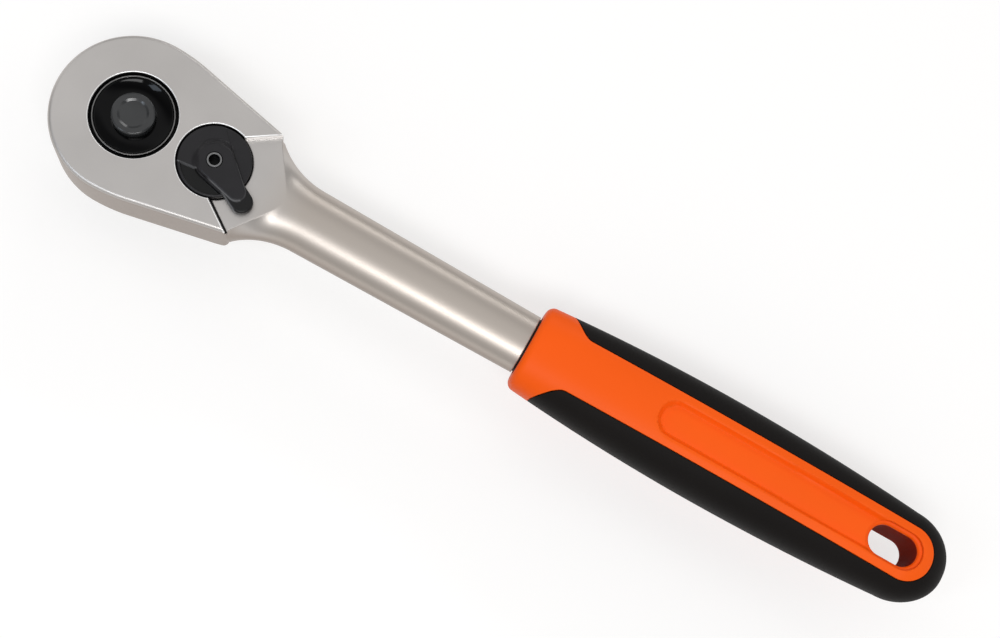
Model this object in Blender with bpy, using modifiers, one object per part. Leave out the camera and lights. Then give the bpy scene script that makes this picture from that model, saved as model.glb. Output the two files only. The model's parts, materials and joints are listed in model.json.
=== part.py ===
"""Half-inch reversible socket ratchet with a teardrop head, a release button and a two-colour moulded grip.

Metres, +Z up. The drive square points down and its end face lies at z = 0. The drive axis is the Z axis and
the handle runs along +X.
"""

import math

import bmesh
import bpy
from mathutils import Matrix, Vector

# Clearances between pieces
FIT_GAP = 0.0002
RUN_GAP = 0.0003
MESH_GAP = 0.00015
BREAK = 0.002

# Drive square with its ball
SQUARE_SIDE = 0.0127
SQUARE_LENGTH = 0.0158
SQUARE_EDGE = 0.0008
BALL_RADIUS = 0.0025
BALL_HEIGHT = 0.008
BALL_PROUD = 0.001
BALL_LIP = 0.0004

# Teardrop head
HEAD_STANDOFF = 0.0004
HEAD_THICKNESS = 0.016
HEAD_WALL = 0.0062
HEAD_SIDE_RADIUS = 0.045
HEAD_TAPER = math.radians(11.9)
HEAD_REAR_WALL = 0.00175
HEAD_EDGE = 0.0011
HEAD_TOP_WALL = 0.0036
HOLE_CHAMFER = 0.0005
RAMP_LENGTH = 0.006

# Neck, shank and tang
NECK_LENGTH = 0.0154
NECK_FILLET = 0.023
NECK_TONGUE = 0.0087
NECK_RISE_FILLET = 0.009
SHANK_LENGTH = 0.0634
SHANK_WIDTH = 0.0173
SHANK_HEIGHT = 0.0124
SHANK_END_WIDTH = 0.0158
SHANK_END_HEIGHT = 0.012
SHANK_SQUARENESS = 2.3
SHANK_IN_GRIP = 0.004
TANG_WIDTH = 0.012
TANG_HEIGHT = 0.009
TANG_END_WALL = 0.0074

# Gear
TOOTH_COUNT = 60
GEAR_TIP_RADIUS = 0.0132
TOOTH_DEPTH = 0.0007
TOOTH_LAND = math.radians(0.7)
CHAMBER_CLEARANCE = 0.0005
TOP_HOLE_RADIUS = 0.0111
HUB_RIM_RADIUS = 0.0103
HUB_BELOW_FACE = 0.0002
LOWER_JOURNAL_RADIUS = 0.0102
SEAL_GROOVE_RADIUS = 0.0093
SEAL_GROOVE_HEIGHT = 0.0014
SEAL_GROOVE_BELOW_HUB = 0.0019
SEAL_WIRE = 0.0012

# Cover plate and its snap ring
PLATE_THICKNESS = 0.002
PLATE_LEDGE = 0.001
SNAP_RING_THICKNESS = 0.001
SNAP_RING_WIDTH = 0.0018
SNAP_RING_BITE = 0.0007
SNAP_RING_LIP = 0.0004
SNAP_RING_OPENING = math.radians(24)
SNAP_LUG_RADIUS = 0.0013
SNAP_LUG_HOLE_RADIUS = 0.0006

# Release button with its collar, pin and spring
BUTTON_RADIUS = 0.0055
BUTTON_PROUD = 0.0014
BUTTON_TRAVEL = 0.003
BUTTON_EDGE = 0.0006
BUTTON_FLANGE = 0.0011
BUTTON_FLANGE_HEIGHT = 0.0013
DIMPLE_RIM = 0.0019
DIMPLE_DEPTH = 0.0008
DIMPLE_FLATNESS = 4
HUB_RIM_WALL = 0.0003
COLLAR_LIP = 0.0003
COLLAR_FLANGE = 0.001
COLLAR_SHOULDER = 0.0022
COLLAR_SLEEVE = 0.0021
COLLAR_HEIGHT = 0.0034
DISH_DEPTH = 0.0018
PIN_RADIUS = 0.0022
PIN_CAP = 0.0018
PIN_NECK_RADIUS = 0.0007
PIN_CONE_SLOPE = 0.5
PIN_FOOT = 0.0011
SPRING_FLOOR_RISE = 0.0023
SPRING_WIRE = 0.0007
SPRING_RADIUS = 0.0042
SPRING_CURLS = 5

# Reverser lever, in a frame with the arm along +X
REVERSER_OFFSET = 0.0062
REVERSER_HOLE_RADIUS = 0.00985
LEVER_RECESS = 0.003
LEVER_REST = math.radians(-27.7)
DISC_BELOW_FACE = 0.0002
DISC_EDGE = 0.0005
ARM_HUB_RADIUS = 0.0052
ARM_END_WIDTH = 0.0054
ARM_END_X = 0.0098
ARM_RISE = 0.0013
TAB_WIDTH = 0.0058
TAB_REACH = 0.0153
TAB_BELOW_ARM = 0.0006
LEVER_EDGE = 0.0004
FINGER_RIM = 0.0009
FINGER_DEPTH = 0.0011
FINGER_START = math.radians(-124)
FINGER_END = math.radians(-20)
STOP_ANGLE = math.radians(35)
STOP_OFFSET = 0.00533
FLOOR_STEP = 0.00002

# Spindle under the lever
SPINDLE_RADIUS = 0.0032
SPINDLE_WEB = 0.003
SPINDLE_FOOT_RADIUS = 0.002
SPINDLE_FOOT_LENGTH = 0.0018
TENON_SIDE = 0.0042
TENON_HEIGHT = 0.0014
RIVET_RADIUS = 0.0017
RIVET_FLARE = 0.0002
RIVET_FLARE_HEIGHT = 0.0004
RIVET_BORE_RADIUS = 0.00145
RIVET_BORE_DEPTH = 0.003
SPINDLE_SEAL_WIRE = 0.001
SPINDLE_RING_THICKNESS = 0.0006
SPINDLE_RING_BITE = 0.0006
SPINDLE_RING_LIFT = 0.0006
SPINDLE_RING_OPENING = math.radians(70)

# Plunger that tips the pawl
PLUNGER_RADIUS = 0.00105
PLUNGER_REACH = 0.0036
PLUNGER_LENGTH = 0.0026
PLUNGER_BORE_DEPTH = 0.0015
PLUNGER_SPRING_WIRE = 0.0003
PLUNGER_SPRING_RADIUS = 0.00072
PLUNGER_SPRING_CURLS = 2.5

# Pawl on its pin
PAWL_REST = math.radians(6)
PAWL_PIN_RADIUS = 0.0014
PAWL_PIN_WALL = 0.0007
PAWL_PIN_SEAT = 0.002
PAWL_HORN_GAP = 0.00045
PAWL_WAIST_GAP = 0.0009
PAWL_HORN_START = math.radians(26)
PAWL_HORN_END = math.radians(45)
PAWL_HORN_THICKNESS = 0.00255
PAWL_BACK_HALF_WIDTH = 0.0044
PAWL_BACK_DEPTH = 0.0016
PAWL_BACK_ARC = math.radians(35)
POCKET_DEPTH = 0.0028
POCKET_SIDE_ROOM = 0.0014
POCKET_FRONT_ROOM = 0.0016
POCKET_BACK_ROOM = 0.002

# Moulded grip
GRIP_LENGTH = 0.1206
GRIP_WIDTH = 0.0281
GRIP_THICKNESS = 0.022
GRIP_WIDEST = 0.0539
GRIP_FRONT_DROP = 0.00245
GRIP_REAR_DROP = 0.0021
GRIP_FRONT_ROUND = 0.002
GRIP_END_ROUND = 0.013
GRIP_TIP = 0.00005
GRIP_SQUARENESS = 2.5
SLEEVE_THICKNESS = 0.0024
STRIPE_WIDTH = 0.0142
STRIPE_SETBACK = 0.0135
STRIPE_END_MARGIN = 0.0058
RING_LENGTH = 0.003
HANG_HOLE_LENGTH = 0.0133
HANG_HOLE_WIDTH = 0.0079
HANG_HOLE_MARGIN = 0.0098
SCOOP_SETBACK = 0.0366
SCOOP_WIDTH = 0.0088
SCOOP_DEPTH = 0.0008
SCOOP_END_DEPTH = 0.0012

# Facets
ROUND_STEPS = 40
SMALL_STEPS = 20
OUTLINE_STEPS = 24
SIDE_STEPS = 4
CORNER_STEPS = 8
DISH_STEPS = 5
NECK_STEPS = 16
GRIP_STEPS = 11
GRIP_END_STEPS = 7
GRIP_FRONT_STEPS = 3
RING_POINTS = 28
SEAL_SIDES = 6
CURL_STEPS = 9
WELD = 0.000001

# Levels and places worked out from the sizes above
HEAD_BOTTOM = SQUARE_LENGTH + HEAD_STANDOFF
HEAD_TOP = HEAD_BOTTOM + HEAD_THICKNESS
AXIS_Z = (HEAD_BOTTOM + HEAD_TOP) / 2
NECK_FLOOR = AXIS_Z + SHANK_HEIGHT / 2 + FLOOR_STEP
CHAMBER_TOP = HEAD_TOP - HEAD_TOP_WALL
CHAMBER_RADIUS = GEAR_TIP_RADIUS + CHAMBER_CLEARANCE
PLATE_BORE_RADIUS = CHAMBER_RADIUS + PLATE_LEDGE
HEAD_RADIUS = PLATE_BORE_RADIUS + HEAD_WALL
PAWL_X = PLATE_BORE_RADIUS + PAWL_PIN_WALL + PAWL_PIN_RADIUS
REVERSER_X = PAWL_X + REVERSER_OFFSET
HEAD_REAR_X = REVERSER_X + REVERSER_HOLE_RADIUS + HEAD_REAR_WALL
NECK_END_X = HEAD_REAR_X + NECK_LENGTH
SNAP_GROOVE_LOW = HEAD_BOTTOM + SNAP_RING_LIP
SNAP_RING_LOW = SNAP_GROOVE_LOW + MESH_GAP
SNAP_RING_TOP = SNAP_RING_LOW + SNAP_RING_THICKNESS
SNAP_GROOVE_TOP = SNAP_RING_TOP + MESH_GAP
SNAP_GROOVE_RADIUS = PLATE_BORE_RADIUS + SNAP_RING_BITE
PLATE_LOW = SNAP_RING_TOP + RUN_GAP
PLATE_TOP = PLATE_LOW + PLATE_THICKNESS
PLATE_SEAT = PLATE_TOP + FIT_GAP
TEETH_LOW = PLATE_TOP + RUN_GAP
TEETH_TOP = CHAMBER_TOP - RUN_GAP
GEAR_ROOT_RADIUS = GEAR_TIP_RADIUS - TOOTH_DEPTH
UPPER_JOURNAL_RADIUS = TOP_HOLE_RADIUS - RUN_GAP
HUB_TOP = HEAD_TOP - HUB_BELOW_FACE
SEAL_GROOVE_TOP = HUB_TOP - SEAL_GROOVE_BELOW_HUB
SEAL_GROOVE_LOW = SEAL_GROOVE_TOP - SEAL_GROOVE_HEIGHT
BUTTON_TOP = HEAD_TOP + BUTTON_PROUD
BUTTON_FLANGE_RADIUS = BUTTON_RADIUS + BUTTON_FLANGE
DIMPLE_RADIUS = BUTTON_RADIUS - DIMPLE_RIM
COLLAR_RADIUS = HUB_RIM_RADIUS - HUB_RIM_WALL - FIT_GAP
COLLAR_SLEEVE_RADIUS = BUTTON_RADIUS + COLLAR_SLEEVE
COLLAR_LOW = HUB_TOP - COLLAR_HEIGHT
BUTTON_FLANGE_TOP = COLLAR_LOW - FIT_GAP
BUTTON_LOW = BUTTON_FLANGE_TOP - BUTTON_FLANGE_HEIGHT
PIN_TOP = BUTTON_TOP - PIN_CAP
PIN_BORE_RADIUS = PIN_RADIUS + FIT_GAP
SPRING_BORE_FLOOR = HEAD_BOTTOM + SPRING_FLOOR_RISE
BALL_OFFSET = SQUARE_SIDE / 2 + BALL_PROUD - BALL_RADIUS
LEVER_SEAT = HEAD_TOP - LEVER_RECESS
DISC_LOW = LEVER_SEAT + RUN_GAP
DISC_TOP = HEAD_TOP - DISC_BELOW_FACE
DISC_RADIUS = REVERSER_HOLE_RADIUS - RUN_GAP
ARM_TOP = DISC_TOP + ARM_RISE
POCKET_TOP = LEVER_SEAT - SPINDLE_WEB
POCKET_LOW = TEETH_LOW
PAWL_LOW = POCKET_LOW + RUN_GAP
PAWL_TOP = POCKET_TOP - RUN_GAP
PAWL_HORN_RADIUS = GEAR_TIP_RADIUS + PAWL_HORN_GAP
PAWL_OUTSIDE_RADIUS = PAWL_HORN_RADIUS + PAWL_HORN_THICKNESS
POCKET_RADIUS = PAWL_X + POCKET_DEPTH
POCKET_HALF_WIDTH = PAWL_OUTSIDE_RADIUS * math.sin(PAWL_HORN_END) + POCKET_SIDE_ROOM
POCKET_START_X = PAWL_HORN_RADIUS * math.cos(PAWL_HORN_END) - POCKET_FRONT_ROOM
POCKET_BACK_RADIUS = SPINDLE_RADIUS + POCKET_BACK_ROOM
PLUNGER_Z = (PAWL_LOW + PAWL_TOP) / 2
PLUNGER_BORE_RADIUS = PLUNGER_RADIUS + FIT_GAP
SPINDLE_BORE_RADIUS = SPINDLE_RADIUS + RUN_GAP
SPINDLE_FOOT_LOW = POCKET_LOW - SPINDLE_FOOT_LENGTH
SPINDLE_RING_LOW = POCKET_TOP + SPINDLE_RING_LIFT
SPINDLE_RING_TOP = SPINDLE_RING_LOW + SPINDLE_RING_THICKNESS
SPINDLE_SEAL_SPACE = SPINDLE_SEAL_WIRE + RUN_GAP
PAWL_PIN_LOW = POCKET_LOW - PAWL_PIN_SEAT
PAWL_PIN_TOP = LEVER_SEAT - FIT_GAP
PAWL_BACK_RADIUS = PLUNGER_REACH + FIT_GAP
GRIP_START_X = NECK_END_X + SHANK_LENGTH
GRIP_END_X = GRIP_START_X + GRIP_LENGTH
GRIP_WIDEST_X = GRIP_START_X + GRIP_WIDEST
GRIP_ROUND_X = GRIP_END_X - GRIP_END_ROUND
RING_EDGE_X = GRIP_START_X + RING_LENGTH
STRIPE_START_X = GRIP_START_X + STRIPE_SETBACK
STRIPE_END_X = GRIP_END_X - STRIPE_END_MARGIN
SCOOP_START_X = GRIP_START_X + SCOOP_SETBACK
HANG_HOLE_END_X = GRIP_END_X - HANG_HOLE_MARGIN
HANG_HOLE_START_X = HANG_HOLE_END_X - HANG_HOLE_LENGTH
SHANK_END_X = GRIP_START_X + SHANK_IN_GRIP
TANG_END_X = HANG_HOLE_START_X - TANG_END_WALL


def clear_scene():
    for obj in list(bpy.data.objects):
        bpy.data.objects.remove(obj)


def new_collection(name):
    group = bpy.data.collections.new(name)
    bpy.context.scene.collection.children.link(group)
    return group


def add_object(name, data, parent=None, helper=False):
    """Links a part into the object's collection, or a cutter into the cutters' collection."""
    obj = bpy.data.objects.new(name, data)
    obj.parent = parent
    if helper:
        CUTTERS.objects.link(obj)
        obj.hide_render = True
        obj.display_type = "WIRE"
    else:
        PARTS.objects.link(obj)
    return obj


def pivot(name, place, angle=0.0):
    """Empty on a joint's axis that carries the pieces of one moving body."""
    empty = add_object(name, None)
    empty.location = place
    empty.rotation_euler.z = angle
    return empty


def arc(centre, radius, start, end, steps):
    """Points on an arc, both ends included."""
    angles = [start + (end - start) * i / steps for i in range(steps + 1)]
    return [(centre[0] + radius * math.cos(a), centre[1] + radius * math.sin(a)) for a in angles]


def mirrored(half):
    """A closed outline from its half at y >= 0, listed from front to rear."""
    return half + [(x, -y) for x, y in reversed(half) if y > WELD]


def turned(name, profile, steps=ROUND_STEPS, closed=False, parent=None, helper=False):
    """Solid turned about local Z from (radius, z) points that run down its outer side."""
    bm = bmesh.new()
    points = [bm.verts.new((radius, 0, z)) for radius, z in profile]
    ends = points[1:] + points[:1] if closed else points[1:]
    for a, b in zip(points, ends):
        bm.edges.new((a, b))
    mesh = bpy.data.meshes.new(name)
    bm.to_mesh(mesh)
    bm.free()
    obj = add_object(name, mesh, parent, helper)
    screw = obj.modifiers.new("Turn", "SCREW")
    screw.steps = steps
    screw.render_steps = steps
    screw.use_merge_vertices = True
    screw.merge_threshold = WELD
    return obj


def post(name, radius, low, high, parent=None, helper=True):
    """Plain round bar or hole about local Z."""
    section = [(0, high), (radius, high), (radius, low), (0, low)]
    return turned(name, section, SMALL_STEPS, parent=parent, helper=helper)


def prism(name, outline, low, high, parent=None, helper=False):
    """Flat outline extruded from low to high, as a mesh that can be cut."""
    curve = bpy.data.curves.new(name, "CURVE")
    curve.dimensions = "2D"
    curve.fill_mode = "BOTH"
    curve.extrude = (high - low) / 2
    spline = curve.splines.new("POLY")
    spline.points.add(len(outline) - 1)
    for point, (x, y) in zip(spline.points, outline):
        point.co = (x, y, 0, 1)
    spline.use_cyclic_u = True
    guide = add_object(name + "_outline", curve, helper=True)
    guide.location.z = (low + high) / 2
    bpy.context.view_layer.update()
    graph = bpy.context.evaluated_depsgraph_get()
    mesh = bpy.data.meshes.new_from_object(guide.evaluated_get(graph))
    tidy_mesh(mesh)
    obj = add_object(name, mesh, parent, helper)
    obj.matrix_basis = guide.matrix_world
    bpy.data.objects.remove(guide)
    return obj


def tidy_mesh(mesh):
    """Welds loose caps, makes flat faces whole again and turns every face outwards."""
    bm = bmesh.new()
    bm.from_mesh(mesh)
    bmesh.ops.remove_doubles(bm, verts=bm.verts, dist=WELD)
    bmesh.ops.dissolve_limit(bm, angle_limit=math.radians(0.05), verts=bm.verts, edges=bm.edges)
    bmesh.ops.recalc_face_normals(bm, faces=bm.faces)
    bm.to_mesh(mesh)
    bm.free()


def block(name, size, low, parent=None, helper=False):
    """Square block centred on local Z that stands on the level low."""
    bm = bmesh.new()
    bmesh.ops.create_cube(bm, size=1)
    bmesh.ops.scale(bm, vec=size, verts=bm.verts)
    bmesh.ops.translate(bm, vec=(0, 0, low + size[2] / 2), verts=bm.verts)
    mesh = bpy.data.meshes.new(name)
    bm.to_mesh(mesh)
    bm.free()
    return add_object(name, mesh, parent, helper)


def loft(name, sections, helper=False):
    """Solid through rounded sections (x, half width, half height, squareness) along the handle's axis."""
    bm = bmesh.new()
    rows = []
    for x, half_width, half_height, squareness in sections:
        power = 2 / squareness
        row = []
        for i in range(RING_POINTS):
            turn = 2 * math.pi * (i + 0.5) / RING_POINTS
            y = math.copysign(abs(math.cos(turn)) ** power, math.cos(turn)) * half_width
            z = math.copysign(abs(math.sin(turn)) ** power, math.sin(turn)) * half_height
            row.append(bm.verts.new((x, y, AXIS_Z + z)))
        rows.append(row)
    for row, after in zip(rows, rows[1:]):
        for i in range(RING_POINTS):
            j = (i + 1) % RING_POINTS
            bm.faces.new((row[i], row[j], after[j], after[i]))
    bm.faces.new(rows[0])
    bm.faces.new(rows[-1])
    bmesh.ops.recalc_face_normals(bm, faces=bm.faces)
    mesh = bpy.data.meshes.new(name)
    bm.to_mesh(mesh)
    bm.free()
    return add_object(name, mesh, helper=helper)


def coil(name, radius, wire, low, high, curls, parent=None):
    """Spring as one tube along local Z, with the wire's centre between low and high."""
    count = round(curls * CURL_STEPS) + 1
    path = []
    for i in range(count):
        turn = 2 * math.pi * i / CURL_STEPS
        z = low + (high - low) * i / (count - 1)
        path.append(Vector((radius * math.cos(turn), radius * math.sin(turn), z)))
    curve = bpy.data.curves.new(name, "CURVE")
    curve.dimensions = "3D"
    curve.bevel_depth = wire / 2
    curve.bevel_resolution = 1
    curve.use_fill_caps = True
    spline = curve.splines.new("POLY")
    spline.points.add(count - 1)
    for point, place in zip(spline.points, path):
        point.co = (*place, 1)
    half_curl = CURL_STEPS // 2
    spans = [(a - b).length for i, a in enumerate(path) for b in path[i + half_curl + 1 :]]
    print(f"{name}: least gap between curls {(min(spans) - wire) * 1000:.2f} mm")
    return add_object(name, curve, parent)


def torus(name, radius, wire, z, parent=None):
    """Round seal ring about local Z, its section turned from the top down the outer side."""
    section = arc((radius, z), wire / 2, math.pi / 2, -3 * math.pi / 2, SEAL_SIDES)[:-1]
    return turned(name, section, closed=True, parent=parent)


def combine(obj, other, operation):
    """Boolean with a helper object."""
    step = obj.modifiers.new(other.name, "BOOLEAN")
    step.operation = operation
    step.object = other
    return obj


def cut(obj, *others):
    for other in others:
        combine(obj, other, "DIFFERENCE")
    return obj


def join(obj, *others):
    for other in others:
        combine(obj, other, "UNION")
    return obj


def round_edges(obj, width, segments=2):
    bevel = obj.modifiers.new("Round", "BEVEL")
    bevel.width = width
    bevel.segments = segments
    bevel.limit_method = "ANGLE"
    bevel.angle_limit = math.radians(40)
    return obj


def finish(obj, colour, roughness, metallic):
    """Gives a part its own material and smooth shading with sharp edges kept."""
    surface = bpy.data.materials.new(obj.name)
    surface.use_nodes = True
    shader = surface.node_tree.nodes["Principled BSDF"]
    shader.inputs["Base Color"].default_value = (*colour, 1)
    shader.inputs["Roughness"].default_value = roughness
    shader.inputs["Metallic"].default_value = metallic
    obj.data.materials.append(surface)
    if obj.type == "MESH":
        obj.data.shade_smooth()
        obj.data.set_sharp_from_angle(angle=math.radians(35))
    return obj


def smooth_step(share):
    share = min(max(share, 0.0), 1.0)
    return share * share * (3 - 2 * share)


def head_side(x):
    """Half width of the head behind the drive axis: a flat arc that runs into a straight taper."""
    turn = math.asin(min(x / HEAD_SIDE_RADIUS, math.sin(HEAD_TAPER)))
    arc_end = HEAD_RADIUS - HEAD_SIDE_RADIUS * (1 - math.cos(turn))
    return arc_end - (x - HEAD_SIDE_RADIUS * math.sin(turn)) * math.tan(turn)


def head_outline():
    quarter = math.pi / 2
    half = arc((0, 0), HEAD_RADIUS, math.pi, quarter, OUTLINE_STEPS)
    side_centre = (0, HEAD_RADIUS - HEAD_SIDE_RADIUS)
    half += arc(side_centre, HEAD_SIDE_RADIUS, quarter, quarter - HEAD_TAPER, SIDE_STEPS)[1:]
    half.append((HEAD_REAR_X, head_side(HEAD_REAR_X)))
    return mirrored(half)


def neck_half_width(x):
    """The head's corner runs into the shank along a hollow arc."""
    reach = min(max(NECK_END_X - x, 0.0), NECK_FILLET)
    hollow = NECK_FILLET - math.sqrt(NECK_FILLET**2 - reach**2)
    return min(SHANK_WIDTH / 2 + hollow, head_side(x) - RUN_GAP)


def neck_half_height(x):
    """Above and below, the shank swells along a hollow arc that the head's two floors cut flat."""
    reach = min(max(HEAD_REAR_X + NECK_TONGUE - x, 0.0), NECK_RISE_FILLET)
    return SHANK_HEIGHT / 2 + NECK_RISE_FILLET - math.sqrt(NECK_RISE_FILLET**2 - reach**2)


def shank_sections(margin):
    """Neck, shank and tang, all grown by a margin."""
    sections = []
    neck_start = HEAD_REAR_X - HEAD_EDGE
    for i in range(NECK_STEPS + 1):
        x = neck_start + (NECK_END_X - neck_start) * i / NECK_STEPS
        half_width = neck_half_width(x) + margin
        sections.append((x, half_width, neck_half_height(x) + margin, SHANK_SQUARENESS))
    for x, width, height in (
        (SHANK_END_X + margin, SHANK_END_WIDTH, SHANK_END_HEIGHT),
        (SHANK_END_X + 2 * margin + WELD, TANG_WIDTH, TANG_HEIGHT),
        (TANG_END_X + margin, TANG_WIDTH, TANG_HEIGHT),
    ):
        sections.append((x, width / 2 + margin, height / 2 + margin, SHANK_SQUARENESS))
    return sections


def chamber_profile():
    """Everything that is bored round the drive axis."""
    top_flare = TOP_HOLE_RADIUS + HOLE_CHAMFER + BREAK
    low_flare = PLATE_BORE_RADIUS + SNAP_RING_LIP
    return [
        (0, HEAD_TOP + BREAK),
        (top_flare, HEAD_TOP + BREAK),
        (TOP_HOLE_RADIUS, HEAD_TOP - HOLE_CHAMFER),
        (TOP_HOLE_RADIUS, CHAMBER_TOP),
        (CHAMBER_RADIUS, CHAMBER_TOP),
        (CHAMBER_RADIUS, PLATE_SEAT),
        (PLATE_BORE_RADIUS, PLATE_SEAT),
        (PLATE_BORE_RADIUS, SNAP_GROOVE_TOP),
        (SNAP_GROOVE_RADIUS, SNAP_GROOVE_TOP),
        (SNAP_GROOVE_RADIUS, SNAP_GROOVE_LOW),
        (PLATE_BORE_RADIUS, SNAP_GROOVE_LOW),
        (low_flare + BREAK, HEAD_BOTTOM - BREAK),
        (0, HEAD_BOTTOM - BREAK),
    ]


def reverser_profile():
    """Everything that is bored round the spindle's axis."""
    top_flare = REVERSER_HOLE_RADIUS + HOLE_CHAMFER + BREAK
    seal_radius = SPINDLE_RADIUS + SPINDLE_SEAL_SPACE + FIT_GAP
    groove_radius = SPINDLE_BORE_RADIUS + SPINDLE_RING_BITE
    foot_radius = SPINDLE_FOOT_RADIUS + FIT_GAP
    return [
        (0, HEAD_TOP + BREAK),
        (top_flare, HEAD_TOP + BREAK),
        (REVERSER_HOLE_RADIUS, HEAD_TOP - HOLE_CHAMFER),
        (REVERSER_HOLE_RADIUS, LEVER_SEAT),
        (seal_radius, LEVER_SEAT),
        (seal_radius, LEVER_SEAT - SPINDLE_SEAL_SPACE),
        (SPINDLE_BORE_RADIUS, LEVER_SEAT - SPINDLE_SEAL_SPACE),
        (SPINDLE_BORE_RADIUS, SPINDLE_RING_TOP + MESH_GAP),
        (groove_radius, SPINDLE_RING_TOP + MESH_GAP),
        (groove_radius, SPINDLE_RING_LOW - MESH_GAP),
        (SPINDLE_BORE_RADIUS, SPINDLE_RING_LOW - MESH_GAP),
        (SPINDLE_BORE_RADIUS, POCKET_TOP),
        (POCKET_BACK_RADIUS, POCKET_TOP),
        (POCKET_BACK_RADIUS, POCKET_LOW),
        (foot_radius, POCKET_LOW),
        (foot_radius, SPINDLE_FOOT_LOW - FIT_GAP),
        (0, SPINDLE_FOOT_LOW - FIT_GAP),
    ]


def make_body():
    """Forged head, neck, shank and tang, with the head bored from both faces."""
    body = prism("ratchet_body", head_outline(), HEAD_BOTTOM, HEAD_TOP)
    round_edges(body, HEAD_EDGE)
    apex = REVERSER_X - STOP_OFFSET / math.sin(STOP_ANGLE)
    far = NECK_END_X
    spread = (far - apex) * math.tan(STOP_ANGLE)
    wedge = [(apex, 0), (far, -spread), (far, spread)]
    sector_top = HEAD_TOP + NECK_RISE_FILLET
    sector = prism("lever_sector", wedge, NECK_FLOOR, sector_top, helper=True)
    ramp_rise = AXIS_Z - SHANK_HEIGHT / 2 - FLOOR_STEP - HEAD_BOTTOM
    below = -NECK_RISE_FILLET - BREAK
    ramp = prism(
        "rear_ramp",
        [
            (HEAD_REAR_X - RAMP_LENGTH, 0),
            (HEAD_REAR_X - RAMP_LENGTH, below),
            (NECK_END_X, below),
            (NECK_END_X, ramp_rise),
            (HEAD_REAR_X, ramp_rise),
        ],
        -HEAD_RADIUS,
        HEAD_RADIUS,
        helper=True,
    )
    upright = Matrix.Rotation(math.pi / 2, 4, "X")
    ramp.matrix_basis = Matrix.Translation((0, 0, HEAD_BOTTOM)) @ upright
    shank = loft("shank", shank_sections(0), helper=True)
    chamber = turned("gear_chamber", chamber_profile(), helper=True)
    well = turned("reverser_well", reverser_profile(), helper=True)
    well.location.x = REVERSER_X
    reach = math.asin(POCKET_HALF_WIDTH / POCKET_RADIUS)
    pocket_outline = arc((0, 0), POCKET_RADIUS, -reach, reach, SMALL_STEPS)
    pocket_outline += [(POCKET_START_X, POCKET_HALF_WIDTH), (POCKET_START_X, -POCKET_HALF_WIDTH)]
    pocket = prism("pawl_pocket", pocket_outline, POCKET_LOW, POCKET_TOP, helper=True)
    hole_radius = PAWL_PIN_RADIUS + MESH_GAP
    pin_hole = post("pawl_pin_hole", hole_radius, PAWL_PIN_LOW - FIT_GAP, LEVER_SEAT + RUN_GAP)
    pin_hole.location.x = PAWL_X
    join(body, shank)
    cut(body, sector, ramp, chamber, well, pocket, pin_hole)
    finish(body, (0.48, 0.45, 0.43), 0.32, 1.0)


def make_cover():
    """Round plate under the gear and the open ring that holds it."""
    hole = LOWER_JOURNAL_RADIUS + RUN_GAP
    rim = PLATE_BORE_RADIUS - FIT_GAP
    section = [(rim, PLATE_TOP), (rim, PLATE_LOW), (hole, PLATE_LOW), (hole, PLATE_TOP)]
    finish(turned("cover_plate", section, closed=True), (0.42, 0.4, 0.38), 0.4, 1.0)
    outer = SNAP_GROOVE_RADIUS - FIT_GAP
    inner = outer - SNAP_RING_WIDTH
    start = math.pi + SNAP_RING_OPENING / 2
    end = 3 * math.pi - SNAP_RING_OPENING / 2
    outline = arc((0, 0), outer, start, end, ROUND_STEPS)
    outline += arc((0, 0), inner, end, start, ROUND_STEPS)
    ring = prism("cover_snap_ring", outline, SNAP_RING_LOW, SNAP_RING_TOP)
    for side in (1, -1):
        turn = math.pi + side * (SNAP_RING_OPENING / 2 + math.asin(SNAP_LUG_RADIUS / inner))
        lug_place = (inner * math.cos(turn), inner * math.sin(turn), 0)
        lug = post(f"ring_lug_{side}", SNAP_LUG_RADIUS, SNAP_RING_LOW, SNAP_RING_TOP)
        hole_low = SNAP_RING_LOW - BREAK
        hole_top = SNAP_RING_TOP + BREAK
        lug_hole = post(f"ring_lug_hole_{side}", SNAP_LUG_HOLE_RADIUS, hole_low, hole_top)
        lug.location = lug_place
        lug_hole.location = lug_place
        join(ring, lug)
        cut(ring, lug_hole)
    finish(ring, (0.12, 0.12, 0.12), 0.45, 1.0)


def tooth_outline(growth):
    """Gear teeth with small lands on their tips, one of them on the X axis."""
    pitch = 2 * math.pi / TOOTH_COUNT
    tip = GEAR_TIP_RADIUS + growth
    root = GEAR_ROOT_RADIUS + growth
    points = []
    for i in range(TOOTH_COUNT):
        points += arc((0, 0), tip, i * pitch - TOOTH_LAND / 2, i * pitch + TOOTH_LAND / 2, 1)
        points += arc((0, 0), root, (i + 0.5) * pitch, (i + 0.5) * pitch, 1)[:1]
    return points


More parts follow.
